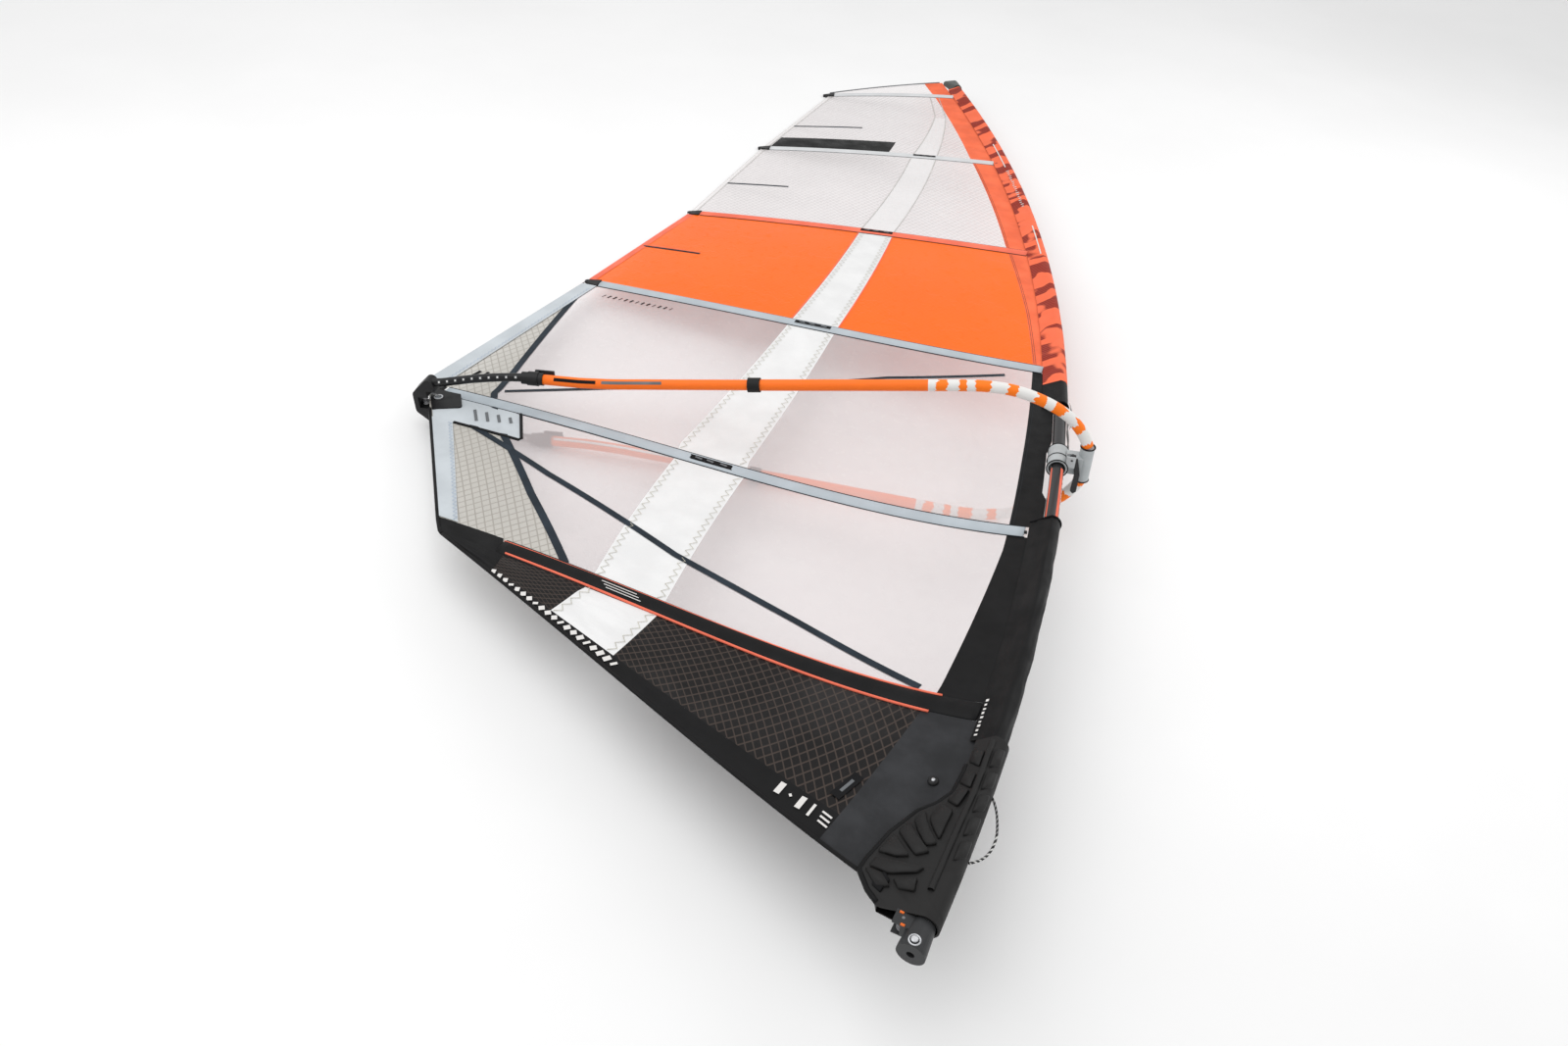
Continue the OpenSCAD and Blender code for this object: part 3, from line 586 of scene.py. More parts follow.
LOOKS = {
    "pale_strip": film_look("pale strip film", (0.84, 0.82, 0.82), 0.85),
    "mast_carbon": carbon_look("mast carbon"),
    "ferrule_composite": plastic_look("ferrule composite", (0.10, 0.10, 0.10)),
    "grey_plastic": plastic_look("head cap plastic", (0.085, 0.095, 0.088), wear=0.3),
    "coral_cloth": cloth_look("coral cloth", CORAL),
    "black_cloth": cloth_look("black cloth", BLACK, wear=0.3, roughness=0.5),
    "grey_cloth": cloth_look("dark grey laminate", (0.030, 0.031, 0.034), wear=0.35, roughness=0.4),
    "white_cloth": cloth_look("white coated cloth", WHITE, wear=0.05, roughness=0.5),
    "pale_grey_cloth": cloth_look("pale grey tape", PALE, wear=0.08),
    "slate_tape": cloth_look("slate load tape", SLATE, wear=0.3, roughness=0.5),
    "pale_film": film_look("pale film", (0.86, 0.82, 0.82), 0.66, 0.12, 40, 0.02,
                           (0.72, 0.70, 0.70)),
    "clear_film": film_look("clear film", (0.84, 0.765, 0.77), 0.46),
    "orange_film": film_look("orange film", (0.98, 0.150, 0.001), 0.975, 0.2, 38, 0.016,
                             (0.95, 0.12, 0.01), 0.3),
    "scrim_film": film_look("scrim film", (0.53, 0.51, 0.47), 0.86, 0.8, 34, 0.022,
                            (0.30, 0.28, 0.25), 0.35),
    "black_grid_film": film_look("black grid film", (0.007, 0.006, 0.006), 1.0, 0.8, 30, 0.023,
                                 (0.065, 0.048, 0.040), 0.4),
    "batten_composite": plastic_look("batten composite", (0.16, 0.16, 0.165)),
    "black_plastic": plastic_look("black plastic", (0.008, 0.008, 0.009)),
    "dark_grey_plastic": plastic_look("dark grey plastic", (0.028, 0.029, 0.031)),
    "pale_grey_plastic": plastic_look("pale grey plastic", (0.46, 0.49, 0.50), wear=0.1),
    "pulley_plastic": plastic_look("pulley plastic", (0.20, 0.20, 0.21)),
    "pad_rubber": plastic_look("pad foam rubber", (0.009, 0.0085, 0.0085), "UV", 0.55, 420, 0.35),
    "black_rubber": plastic_look("black rubber", (0.007, 0.007, 0.007), roughness=0.6),
    "steel": metal_look("brushed steel", (0.62, 0.63, 0.65)),
    "aluminium": metal_look("drawn aluminium", (0.68, 0.68, 0.70)),
    "black_aluminium": plastic_look("black anodised tube", (0.007, 0.007, 0.008), "UV", 0.3, 300),
    "boom_grip": plastic_look("orange coated tube", (0.98, 0.175, 0.010), "UV", 0.45, 700, 0.05),
    "rope": rope_look("pale braid", (0.70, 0.70, 0.69), (0.25, 0.26, 0.28)),
    "rope_dark": rope_look("black braid", (0.02, 0.02, 0.022), (0.30, 0.30, 0.30)),
}
# Painted highlight: a white coated-tube look laid along the top of the lower boom arm
LOWER_ARM_HIGHLIGHT = plastic_look("painted highlight on coated tube", (0.80, 0.79, 0.77), "UV", 0.45, 700, 0.04)
STITCH = cloth_look("pale blue thread", (0.36, 0.45, 0.58), threads=900)
CREAM_STITCH = cloth_look("cream thread", (0.52, 0.50, 0.42), threads=900)
DARK_STITCH = cloth_look("dark thread", (0.03, 0.035, 0.04), threads=900)
PALE_MARK = cloth_look("pale print", (0.78, 0.76, 0.74), wear=0.08)
DARK_MARK = cloth_look("dark print", (0.007, 0.007, 0.008), wear=0.2)
GREY_MARK = cloth_look("grey print", (0.17, 0.18, 0.19), wear=0.2)
CORAL_BRIGHT = cloth_look("bright coral cloth", CORAL_LIGHT)
# Silvery braid laid on the mast's front edge as a painted highlight
MAST_HIGHLIGHT_CORD = rope_look("painted mast highlight cord", (0.35, 0.34, 0.32), (0.10, 0.10, 0.11))
ORANGE_PLASTIC = plastic_look("orange plastic", (0.95, 0.18, 0.02))


def patterned_sleeve():
    """Coral cloth printed with dark red hatched patches."""
    look = Look("patterned coral cloth")
    height = weave(look, 140)
    slant = look.turned(16, (1, 0.8, 1))
    band = look.ramp(look.wave(2.4, "X", 6.0, slant, 3.0), 0.50, 0.58)
    gap = look.ramp(look.noise(7, 2), 0.40, 0.46)
    hatch = look.ramp(look.wave(30, "X", 1.0, slant), 0.15, 0.5, 0.72, 1.0)
    base = look.mix(look.ramp(look.noise(12, 5), 0.3, 0.7), shade(CORAL, 0.9), CORAL)
    base = look.mix(look.times(look.times(band, gap), hatch), base, DARK_RED)
    base = look.mix(look.times(height, 0.2), base, shade(CORAL, 0.5))
    return look.done(base, look.ramp(look.noise(14), 0.3, 0.7, 0.62, 0.85))


SLEEVE_PRINT = patterned_sleeve()


def floor_look():
    look = Look("pale studio floor", "Object")
    base = look.mix(look.ramp(look.noise(0.8, 4), 0.3, 0.7), (0.90, 0.90, 0.90), (0.93, 0.93, 0.93))
    look.bump(look.noise(60, 4), 0.03, 0.0005)
    return look.done(base, look.ramp(look.noise(3, 4), 0.3, 0.7, 0.5, 0.62))


make_camera()


# ---- Sail panels ----
def opening_edge(w):
    """Fore edge of the cloth in the boom opening: close to the mast, clear of the clamp's travel."""
    gap = np.interp(w, (1.340, 1.354, 1.574, 1.588), (0.0187, 0.031, 0.031, 0.0187))
    return gap / chord(w)


def pocket_low(i):
    return BATTENS[i] - HALF_POCKET


def pocket_high(i):
    return BATTENS[i] + HALF_POCKET


FOOT_TOP = FOOT_BATTEN + FOOT_HALF
FOOT_LOW = FOOT_BATTEN - FOOT_HALF
TRIM_HIGH = FOOT + 0.092
HEAD_TOP = HEAD - 0.004


def bay(k, fore, aft):
    """The patch of the sail between batten k and the pocket below it."""
    return (pocket_high(k + 1) if k < 4 else FOOT_TOP, pocket_low(k), fore, aft)


OPENING_SEAM = CUTOUT[1] + 0.005
FORE = (luff_edge, fold_fore)
AFT = (fold_aft, leech)
STRIP = (fold_fore, fold_aft)
PALE_FROM = 4           # the first patch of the fold strip that is of the paler film
# CAD node, look, patches from low to high edge, and the piece's own name where it has one
PANELS = [
    ("luff_band", "coral_cloth", [(pocket_high(0), HEAD_TOP, sleeve_edge, luff_edge)]
     + [bay(k, sleeve_edge, luff_edge) for k in range(3)]),
    ("luff_panel", "black_cloth",
     [(OPENING_SEAM, pocket_low(3), sleeve_edge, luff_edge),
      (pocket_high(4), OPENING_SEAM, opening_edge, luff_edge), bay(4, sleeve_edge, luff_edge)]),
    ("tack_panel", "grey_cloth", [(FOOT, FOOT_LOW, offset(0.030), luff_edge)]),
    ("head_panel", "pale_film", [(pocket_high(0), HEAD_TOP, luff_edge, leech)]),
    ("upper_panels_fore", "pale_film", [(pocket_high(1), FOLD_END, *FORE), bay(1, *FORE)]),
    ("upper_panel_aft", "pale_film",
     [(pocket_high(1), FOLD_END, *AFT), (FOLD_END, pocket_low(0), luff_edge, leech)]),
    ("middle_panel_aft", "pale_film", [bay(1, *AFT)]),
    ("orange_panel_fore", "orange_film", [bay(2, *FORE)]),
    ("orange_panel_aft", "orange_film", [bay(2, *AFT)]),
    ("window_upper_fore", "clear_film", [bay(3, *FORE)], "upper_window_fore"),
    ("window_upper_aft", "clear_film", [bay(3, fold_aft, scrim_edge)], "upper_window_aft"),
    ("window_lower_fore", "clear_film", [bay(4, *FORE)], "lower_window_fore"),
    ("window_lower_aft", "clear_film", [bay(4, fold_aft, scrim_edge)], "lower_window_aft"),
    ("leech_scrim", "scrim_film", [bay(3, scrim_edge, leech), bay(4, scrim_edge, leech)]),
    ("foot_panel_fore", "black_grid_film", [(TRIM_HIGH, FOOT_LOW, *FORE)]),
    ("foot_panel_aft", "black_grid_film", [(TRIM_HIGH, FOOT_LOW, *AFT)]),
    ("foot_trim", "black_cloth", [(FOOT, TRIM_HIGH, luff_edge, leech)]),
    ("fold_strip", "white_cloth", [(TRIM_HIGH, FOOT_LOW, *STRIP)]
     + [bay(k, *STRIP) for k in (4, 3, 2, 1)] + [(pocket_high(1), FOLD_END, *STRIP)]),
]


def panels():
    """Each CAD panel as a real sheet; the strip's upper patches are of a paler film."""
    for node, look, patches, *name in PANELS:
        parts = Parts()
        widths, lengths = [], []
        strip = node == "fold_strip"
        for k, patch in enumerate(patches):
            points, uv = panel_grid(*patch)
            widths.append(np.linalg.norm(np.diff(points, axis=1), axis=2).sum(axis=1).max())
            lengths.append(np.linalg.norm(np.diff(points, axis=0), axis=2).sum(axis=0).max())
            parts.grid(points, uv, mat=int(strip and k >= PALE_FROM))
        looks = [LOOKS[look]] + [LOOKS["pale_strip"]] * strip
        piece = parts.stand_in(node, looks, *name)


# ---- Luff sleeve and pad ----
def teardrop(radius, aft, drop, half, steps=9, sides=7):
    """Outline round the mast: the rear seam, over the top, round the nose and back below."""
    t = np.linspace(0, 1, sides, endpoint=False)[:, None]
    seam, top, low = (np.array(p) for p in ((aft, drop + half), (0, radius), (0, -radius)))
    angle = np.radians(np.linspace(90, 270, 2 * steps + 1))
    nose = radius * np.stack([np.cos(angle), np.sin(angle)], axis=1)
    upper = seam + (top - seam) * t
    under = low + (np.array((aft, drop - half)) - low) * np.linspace(1 / sides, 1, sides)[:, None]
    return np.vstack([upper, nose, under])


def sleeve_drop(w, distance):
    return float(cloth(w, distance / chord(w))[2])


def luff_grid(low, high, radius, aft, half, step=0.02, wrinkle=0.0):
    """Points round the mast between two heights; radius and aft are functions of height."""
    path = on_mast(np.linspace(low, high, int((high - low) / step) + 1))
    outlines = []
    for h in path[:, 1]:
        outline = teardrop(radius(h), aft(h), sleeve_drop(h, aft(h)), half)
        if wrinkle:
            for k in range(len(outline)):
                ripple = noise.noise((h * 14, k * 0.55, 0.3)) + 0.5 * noise.noise((h * 33, k, 2))
                outline[k] *= 1 + wrinkle * ripple * min(1.0, k / 3, (len(outline) - 1 - k) / 3)
        outlines.append(outline)
    uv = [np.stack([np.full(len(o), h), stations(o)], axis=1) for h, o in zip(path[:, 1], outlines)]
    return set_out(path, np.array(outlines)), np.array(uv)


def sleeve_nose(y):
    return SLEEVE_R - 0.006 * max(0.0, y - CUTOUT[1]) / (MAST_LENGTH - CUTOUT[1])


def lower_nose(y):
    return SLEEVE_R + 0.002


def sleeve_aft(y):
    return SLEEVE_AFT


def sleeves():
    black = LOOKS["black_cloth"]
    parts = Parts()
    points, uv = luff_grid(CUTOUT[1], MAST_LENGTH - 0.046, sleeve_nose, sleeve_aft, SEAM_HALF,
                           wrinkle=0.03)
    parts.grid(points, uv, mat=lambda i, j: int(i < 6))
    parts.stand_in("sleeve_upper", [SLEEVE_PRINT, black], "upper luff sleeve")
    parts = Parts()
    parts.grid(*luff_grid(PAD_TOP + 0.001, CUTOUT[0], lower_nose, sleeve_aft, SEAM_HALF,
                          wrinkle=0.10))
    parts.stand_in("sleeve_lower", black, "lower luff sleeve")
    # Rolled hems round both ends of the boom opening
    for name, y, nose in (("upper hem", CUTOUT[1], sleeve_nose), ("lower hem", CUTOUT[0], lower_nose)):
        ring, _ = luff_grid(y - 0.001, y + 0.001, lambda h: nose(y) + 0.001, sleeve_aft, SEAM_HALF,
                            0.001)
        add_tube(name, ring[0], 0.0026, DARK_MARK, 10, ref=(0.2, 1, 0.1))
    # Flap of cloth at the top of the opening, folded forward over the mast
    flap = Parts()
    rows = 9
    grid = np.zeros((rows, 7, 3))
    for i in range(rows):
        y = CUTOUT[1] - 0.012 * i
        half = 0.024 * (1 - 0.07 * i)
        bulge = 0.012 + 0.006 * math.sin(math.pi * i / (rows - 1))
        for j, z in enumerate(np.linspace(-half, half, 7)):
            grid[i, j] = (mast_x(y) + 0.0185 + bulge * (1 - (z / 0.03) ** 2), y, z)
    flap.grid(grid, grid[:, :, 1:])
    flap.make("sleeve flap", black)


def sleeve_mark(parts, low, high, fore, aft, nose):
    """A thin rectangle on a sleeve's upper face, between two heights and two distances aft."""
    path = on_mast(np.linspace(low, high, max(2, int((high - low) / 0.02) + 2)))
    outline = np.zeros((len(path), 2, 2))
    for i, h in enumerate(path[:, 1]):
        seam = sleeve_drop(h, SLEEVE_AFT) + SEAM_HALF
        outline[i] = [(out, nose(h) + (seam - nose(h)) * out / SLEEVE_AFT + 0.0016)
                      for out in (fore, aft)]
    parts.grid(set_out(path, outline))


def sleeve_prints():
    """Abstract bars and short dashes, where the real sleeve carries its lettering."""
    marks = Parts()
    for low, high, fore in ((3.60, 3.86, 0.013), (2.78, 3.02, 0.004)):
        sleeve_mark(marks, low, high, fore, fore + 0.004, sleeve_nose)
    for k in range(20):
        y = 3.56 - 0.0185 * k
        sleeve_mark(marks, y - 0.0055, y, 0.008 + 0.002 * (k % 3), 0.020 - 0.001 * (k % 4),
                    sleeve_nose)
    for k in range(9):
        y = 0.500 + 0.0125 * k
        sleeve_mark(marks, y, y + 0.005 + 0.001 * (k % 3), SLEEVE_AFT - 0.011 + 0.001 * (k % 2),
                    SLEEVE_AFT - 0.005, lambda h: SLEEVE_R + 0.003)
    marks.make("sleeve prints", PALE_MARK)


# ---- Battens and their pockets ----
def lens_grid(path, width, height, sides=18):
    """A flat section with full edges, along a path."""
    angle = np.linspace(0, 2 * math.pi, sides, endpoint=False)
    outline = np.stack([np.cos(angle) * width / 2, np.sin(angle) * height / 2], axis=1)
    outline[:, 1] *= np.abs(np.sin(angle)) ** 0.35
    return set_out(path, outline), uv_grid(path, outline[:, 0])


def pocket(parts, w, width, fore, end, mat, edge):
    s = np.linspace(fore, end, 70)
    points, uv = lens_grid(cloth(np.full_like(s, w), s), width, POCKET_H)
    sides = points.shape[1]
    edge_sides = (0, sides // 2 - 1, sides // 2, sides - 1)
    base = parts.grid(points, uv, lambda i, j: edge if j in edge_sides else mat, loop=True)
    parts.cap(base, sides, flip=True, mat=mat)
    parts.cap(parts.count - sides, sides, mat=mat)


def battens():
    white, grey, coral, dark, pale = range(5)
    looks = [cloth_look("white pocket cloth", (0.66, 0.67, 0.68), wear=0.06),
             cloth_look("light blue-grey pocket cloth", (0.47, 0.52, 0.56), wear=0.07),
             CORAL_BRIGHT, DARK_STITCH,
             cloth_look("grey pocket edge", (0.16, 0.17, 0.18), wear=0.1)]
    parts = Parts()
    colours = ((white, pale), (white, pale), (coral, dark), (grey, dark), (grey, dark))
    for w, (mat, edge) in zip(BATTENS, colours):
        fore = sleeve_edge(w) if w > CUTOUT[0] else offset(0.060)(w)
        pocket(parts, w, 2 * HALF_POCKET, fore, 0.965, mat, edge)
    parts.stand_in("batten_pockets", looks)
    parts = Parts()
    pocket(parts, FOOT_BATTEN, 2 * FOOT_HALF, sleeve_edge(FOOT_BATTEN), 0.87, 0, 0)
    parts.stand_in("foot_batten_pocket", LOOKS["black_cloth"])
    # Thin dark cords sewn along both edges of the three lowest pockets
    for k, w in enumerate(BATTENS[2:]):
        for end, edge in (("low", w - HALF_POCKET), ("high", w + HALF_POCKET)):
            run = sail_line([(edge, sleeve_edge(w) + 0.004), (edge, 0.962)], 60, 0.001)
            add_tube(f"pocket edge {k} {end}", run, 0.0013, DARK_STITCH, 6)
    # Coral piping along both edges of the foot band, and three thin lines on it
    for name, w in (("upper piping", FOOT_TOP), ("lower piping", FOOT_LOW - 0.002)):
        add_tube(name, sail_line([(w, luff_edge(w) - 0.01), (w, 0.862)], 60, 0.002), 0.0032,
                 CORAL_BRIGHT, 8)
    thin = Parts()
    for k in range(3):
        w = FOOT_BATTEN + 0.011 * (k - 1)
        stripe(thin, [(w, 0.60 + 0.004 * k), (w, 0.665 + 0.004 * k)], 6, 0.0022, 0.0078)
    thin.make("foot band lines", PALE_MARK)
    # Short battens sewn to the leech between the full ones
    parts = Parts()
    for run in (((2.390, 0.842), (2.388, 0.99)), ((3.185, 0.775), (3.178, 0.985)),
                ((3.992, 0.632), (3.988, 0.98))):
        parts.grid(*lens_grid(sail_line(run, 24), 0.011, 0.0045, 10), loop=True)
    parts.stand_in("mini_battens", LOOKS["slate_tape"])


def connector_windows():
    """Windows in the pockets, where each batten's halves meet at the fold strip."""
    frames, bars = Parts(), Parts()
    top = POCKET_H / 2 + 0.0006
    for w in BATTENS[1:]:
        mid = (fold_fore(w) + fold_aft(w)) / 2
        reach = offset(0.062 if w < 3 else 0.048)(w)
        for h, width, lift in ((w - 0.0085, 0.0035, top - 0.0012), (w + 0.0085, 0.0035, top - 0.0012),
                               (w, 0.014, top - 0.0006)):
            stripe(frames, [(h, mid - reach), (h, mid + reach)], 4, width, lift)
        for k in (-0.6, 0.05, 0.6):
            stripe(bars, [(w - 0.001, mid + (k - 0.16) * reach),
                          (w + 0.002, mid + (k + 0.16) * reach)], 2, 0.0065, top + 0.0006)
    frames.make("connector windows", DARK_MARK)
    bars.make("connector sleeves", GREY_MARK)


# ---- Tapes, patches and stitching ----
LIFT = 0.0017


def tape(node, look, runs):
    """Tapes on both faces of the sail: each run is (points, steps, width)."""
    parts = Parts()
    for points, steps, width in runs:
        for side in (LIFT, -LIFT):
            stripe(parts, points, steps, width, side)
    parts.stand_in(node, LOOKS[look])


# Cords and bound edges: name, run, steps, lift, radius, look, sides
HEMS = (
    ("lower leech hem", [(0.150, 1.0), (0.60, 1.0), (1.085, 1.0)], 24, 0, 0.0048,
     LOOKS["black_cloth"], 10),
    ("upper leech hem", [(1.245, 1.0), (1.6, 1.0), (1.985, 1.0)], 20, 0, 0.0018, GREY_MARK, 8),
    ("head leech hem", [(1.995, 1.0), (2.805, 1.0), (3.665, 1.0), (4.48, 1.0)], 20, 0, 0.0013,
     PALE_MARK, 8),
    ("head hem", [(HEAD, 0.99), (HEAD, 0.10)], 20, 0.001, 0.0028, GREY_MARK, 8),
    ("foot hem", [(FOOT + 0.003, 1.0), (FOOT + 0.003, 0.05)], 40, 0, 0.0042,
     LOOKS["black_cloth"], 10))


def tapes():
    tape("scrim_tapes", "slate_tape", (
        ([(FOOT_TOP + 0.004, 0.744), (0.823, 0.811), (1.106, 0.874), (pocket_low(4), 0.878)],
         14, 0.020),
        ([(pocket_high(4), 0.879), (1.267, 0.882), (1.366, 0.895), (pocket_low(3), 0.988)],
         14, 0.020)))
    tape("load_tapes", "slate_tape", (
        ([(1.054, 0.924), (0.931, 0.78), (0.780, 0.55), (0.700, 0.339), (0.610, 0.13)], 16, 0.017),
        ([(1.261, 0.87), (1.428, 0.703), (1.790, 0.307), (1.925, 0.10)], 18, 0.011)))
    parts = Parts()
    for low, high, fore in ((FOOT_TOP + 0.014, 1.046, 0.957), (1.225, pocket_low(3), 0.966)):
        for side in (0.0022, -0.0022):
            parts.grid(*panel_grid(low, high, at(fore), leech, lift=side))
    parts.stand_in("leech_tapes", LOOKS["pale_grey_cloth"])
    for name, run, steps, lift, radius, look, sides in HEMS:
        add_tube(name, sail_line(run, steps, lift), radius, look, sides)


def stitching():
    parts = Parts()
    for edge, inset in ((fold_fore, 0.014), (fold_aft, -0.014)):
        for low, high, *_ in [(TRIM_HIGH, FOOT_LOW)] + [bay(k, *STRIP) for k in (4, 3, 2)]:
            w = np.linspace(low + 0.01, high - 0.01, 40)
            zigzag(parts, cloth(w, edge(w) + inset / chord(w)), 0.016, 0.013, 0.0022)
    parts.make("strip seams", CREAM_STITCH)
    parts = Parts()
    zigzag(parts, sail_line([(0.62, 0.962), (1.04, 0.962)], 20), 0.010, 0.008, 0.0018, 0.0034)
    zigzag(parts, sail_line([(1.26, 0.972), (1.94, 0.972)], 20), 0.008, 0.008, 0.0015, 0.0034)
    parts.make("zigzag seams", STITCH)
    parts = Parts()
    for i in (2, 3, 4):
        w = np.linspace(pocket_high(i) + 0.006, pocket_low(i - 1) - 0.006, 30)
        for distance in (0.004, 0.010):
            ribbon(parts, cloth(w, luff_edge(w) - distance / chord(w)), 0.0009, 0.0012)
    parts.make("luff seams", DARK_STITCH)
    # Coral borders round the orange bay and pale seams in the bays above it
    parts = Parts()
    w = np.linspace(pocket_high(3) + 0.002, pocket_low(2) - 0.002, 30)
    for edge, inset in ((fold_fore, -0.003), (fold_aft, 0.003)):
        ribbon(parts, cloth(w, edge(w) + inset / chord(w)), 0.0045, 0.0014)
    for lift in (0.0014, -0.0014):
        ribbon(parts, cloth(w, 1.0 - 0.013 / chord(w)), 0.024, lift)
    stripe(parts, [(2.395, 0.842), (2.400, 0.975)], 12, 0.004, 0.0036)
    parts.make("orange bay seams", CORAL_BRIGHT)
    parts = Parts()
    for i in (2, 1):
        w = np.linspace(pocket_high(i) + 0.004, pocket_low(i - 1) - 0.004, 30)
        for s, width in ((fold_fore(w), 0.0030), (fold_aft(w), 0.0030),
                         (1.0 - 0.020 / chord(w), 0.0028)):
            ribbon(parts, cloth(w, s), width, 0.0014)
    parts.make("pale seams", cloth_look("pale seam thread", (0.56, 0.55, 0.52), threads=600))


def patch(node, low, high, fore, aft, look, height, cell):
    """A patch of even thickness laid over both faces of the sail, with a rounded rim."""
    points, uv = panel_grid(low, high, fore, aft, cell)
    parts = Parts()
    for side in (height, -height):
        lifted = points.copy()
        lifted[:, :, 2] += side
        for row in (lifted[0], lifted[-1], lifted[:, 0], lifted[:, -1]):
            row[:, 2] -= side * 0.7
        parts.grid(lifted, uv, flip=side < 0)
    parts.stand_in(node, LOOKS[look])


def patches():
    low, high = 1.046, pocket_low(4)
    patch("clew_patch", low, high, at(0.83), at(0.995), "pale_grey_cloth", 0.0024, 0.015)
    patch("corner_patch", TRIM_HIGH, FOOT_TOP + 0.012, at(0.865), leech, "black_cloth", 0.0024, 0.025)
    patch("head_label", pocket_high(1) + 0.004, 3.820, lambda w: 0.47 - (w - 3.690) * 0.15,
          at(0.975), "black_cloth", 0.0018, 0.025)
    border = np.vstack([sail_line([(high, 0.829), (low + 0.01, 0.829)], 10),
                        sail_line([(low, 0.834), (low, 0.955)], 12)])
    add_tube("clew patch border", border, 0.0048, LOOKS["black_cloth"], 8)
    slots = Parts()
    for k in range(4):
        s = 0.848 + 0.0215 * k
        stripe(slots, [(1.112 - 0.011 * k, s - 0.001), (1.138 - 0.002 * k, s + 0.001)], 10, 0.0085,
               0.0040)
    slots.make("clew patch slots", GREY_MARK)


def foot_and_window_marks():
    # Slanted blocks, in place of the lettering on the foot
    marks = Parts()
    for k in range(20):
        s, w = 0.575 + 0.0150 * k, FOOT + 0.050
        half = 0.021 if k % 3 else 0.017
        stripe(marks, [(w - half, s + 0.004), (w + half, s - 0.004)], 3,
               0.0135 if k % 4 else 0.0075, 0.0024)
    for k, (half, thick) in enumerate(((0.020, 0.013), (0.003, 0.007), (0.020, 0.012),
                                       (0.020, 0.006))):
        s = 0.252 - 0.018 * k
        stripe(marks, [(0.127 - half, s), (0.127 + half, s - 0.003)], 3, thick, 0.0024)
    for w in (0.142, 0.128, 0.114):
        stripe(marks, [(w, 0.182), (w - 0.002, 0.166)], 3, 0.0045, 0.0024)
    marks.make("foot marks", PALE_MARK)
    # Small dark dashes below the third batten and on the upper scrim
    marks = Parts()
    for k in range(13):
        s = 0.925 - 0.0125 * k
        stripe(marks, [(1.905, s + 0.002), (1.921, s - 0.001)], 2, 0.006 if k % 3 else 0.003, 0.0016)
    for k, size in enumerate((0.030, 0.034, 0.030)):
        s = 0.945 - 0.014 * k
        stripe(marks, [(1.300, s), (1.300 + size, s - 0.002)], 2, 0.011 - 0.002 * k, 0.0020)
    marks.make("window marks", DARK_MARK)
    # Small woven tag on the foot panel
    for name, run, width, lift, look in (
            ("tag", [(0.196, 0.178), (0.285, 0.160)], 0.024, 0.0028, DARK_MARK),
            ("tag mark", [(0.218, 0.1735), (0.263, 0.1645)], 0.007, 0.0034, GREY_MARK)):
        tag = Parts()
        stripe(tag, run, 6, width, lift)
        tag.make(name, look)


def press_stud():
    """The press stud on the tack panel: rings of (radius, height), from the rim in."""
    centre = cloth(0.353, 0.062)
    turn = np.array([(math.cos(t), math.sin(t), 0) for t in np.linspace(0, 2 * math.pi, 25)[:-1]])
    for name, rings, look in (
            ("press stud", ((0.0115, 0.0012), (0.0110, 0.0045), (0.0060, 0.0062)), "black_plastic"),
            ("press stud centre", ((0.0045, 0.0055), (0.0040, 0.0075), (0.0015, 0.0082)), "steel")):
        parts = Parts()
        parts.grid(np.array([centre + turn * r + (0, 0, z) for r, z in rings]), loop=True, flip=True)
        parts.cap(len(rings) * 24 - 24, 24, flip=True)
        parts.make(name, LOOKS[look])


# ---- Pad over the tack ----
def pad_aft(y):
    return float(table(PAD_AFT, y))


def pad_point(y, t, lift=0.0):
    """A point of the pad's upper face: t is 0 over the mast and 1 at the rear edge."""
    path = on_mast(y + np.array((-0.005, 0, 0.005)))
    _, a, b = frames_along(path, (0, 0, 1))
    if t < 0:
        out, top = t * PAD_NOSE, PAD_NOSE * math.sqrt(max(0, 1 - t * t))
    else:
        out = t * pad_aft(y)
        top = PAD_NOSE + (sleeve_drop(y, pad_aft(y)) + PAD_HALF - PAD_NOSE) * t
    return path[1] + a[1] * out + b[1] * (top + lift)


def block(parts, corners, height):
    """A raised block of the pad: given corners (height on the mast, share across), bevelled."""
    c = np.array(corners, float)
    middle = c.mean(axis=0)
    rings = []
    for scale, lift in ((1.0, -0.001), (1.0, height * 0.55), (0.88, height)):
        ring = middle + (c - middle) * scale
        rings.append([pad_point(*(p + (q - p) * u), lift)
                      for p, q in zip(ring, np.roll(ring, -1, axis=0)) for u in (0.08, 0.5, 0.92)])
    sides = len(rings[0])
    base = parts.grid(np.array(rings), loop=True)
    parts.cap(base + 2 * sides, sides)


# Blocks on the rear part, between the spine and the bound edge: (height, share across)
REAR_BLOCKS = (
    ((0.300, 0.30), (0.318, 0.80), (0.352, 0.75), (0.345, 0.30)),
    ((0.215, 0.24), (0.288, 0.30), (0.306, 0.75), (0.262, 0.62)),
    ((0.206, 0.24), (0.256, 0.63), (0.283, 0.84), (0.256, 0.86), (0.198, 0.38)),
    ((0.186, 0.28), (0.248, 0.88), (0.222, 0.90), (0.172, 0.44)),
    ((0.168, 0.50), (0.214, 0.91), (0.164, 0.93), (0.160, 0.66)),
    ((0.150, 0.24), (0.150, 0.88), (0.128, 0.90), (0.120, 0.62), (0.136, 0.30)),
    ((0.126, 0.26), (0.112, 0.56), (0.096, 0.50), (0.098, 0.26)),
    ((0.118, 0.70), (0.122, 0.92), (0.090, 0.84), (0.096, 0.62)))
FRONT_BLOCKS = ((0.404, 0.452), (0.348, 0.392), (0.292, 0.336), (0.236, 0.280), (0.180, 0.224))


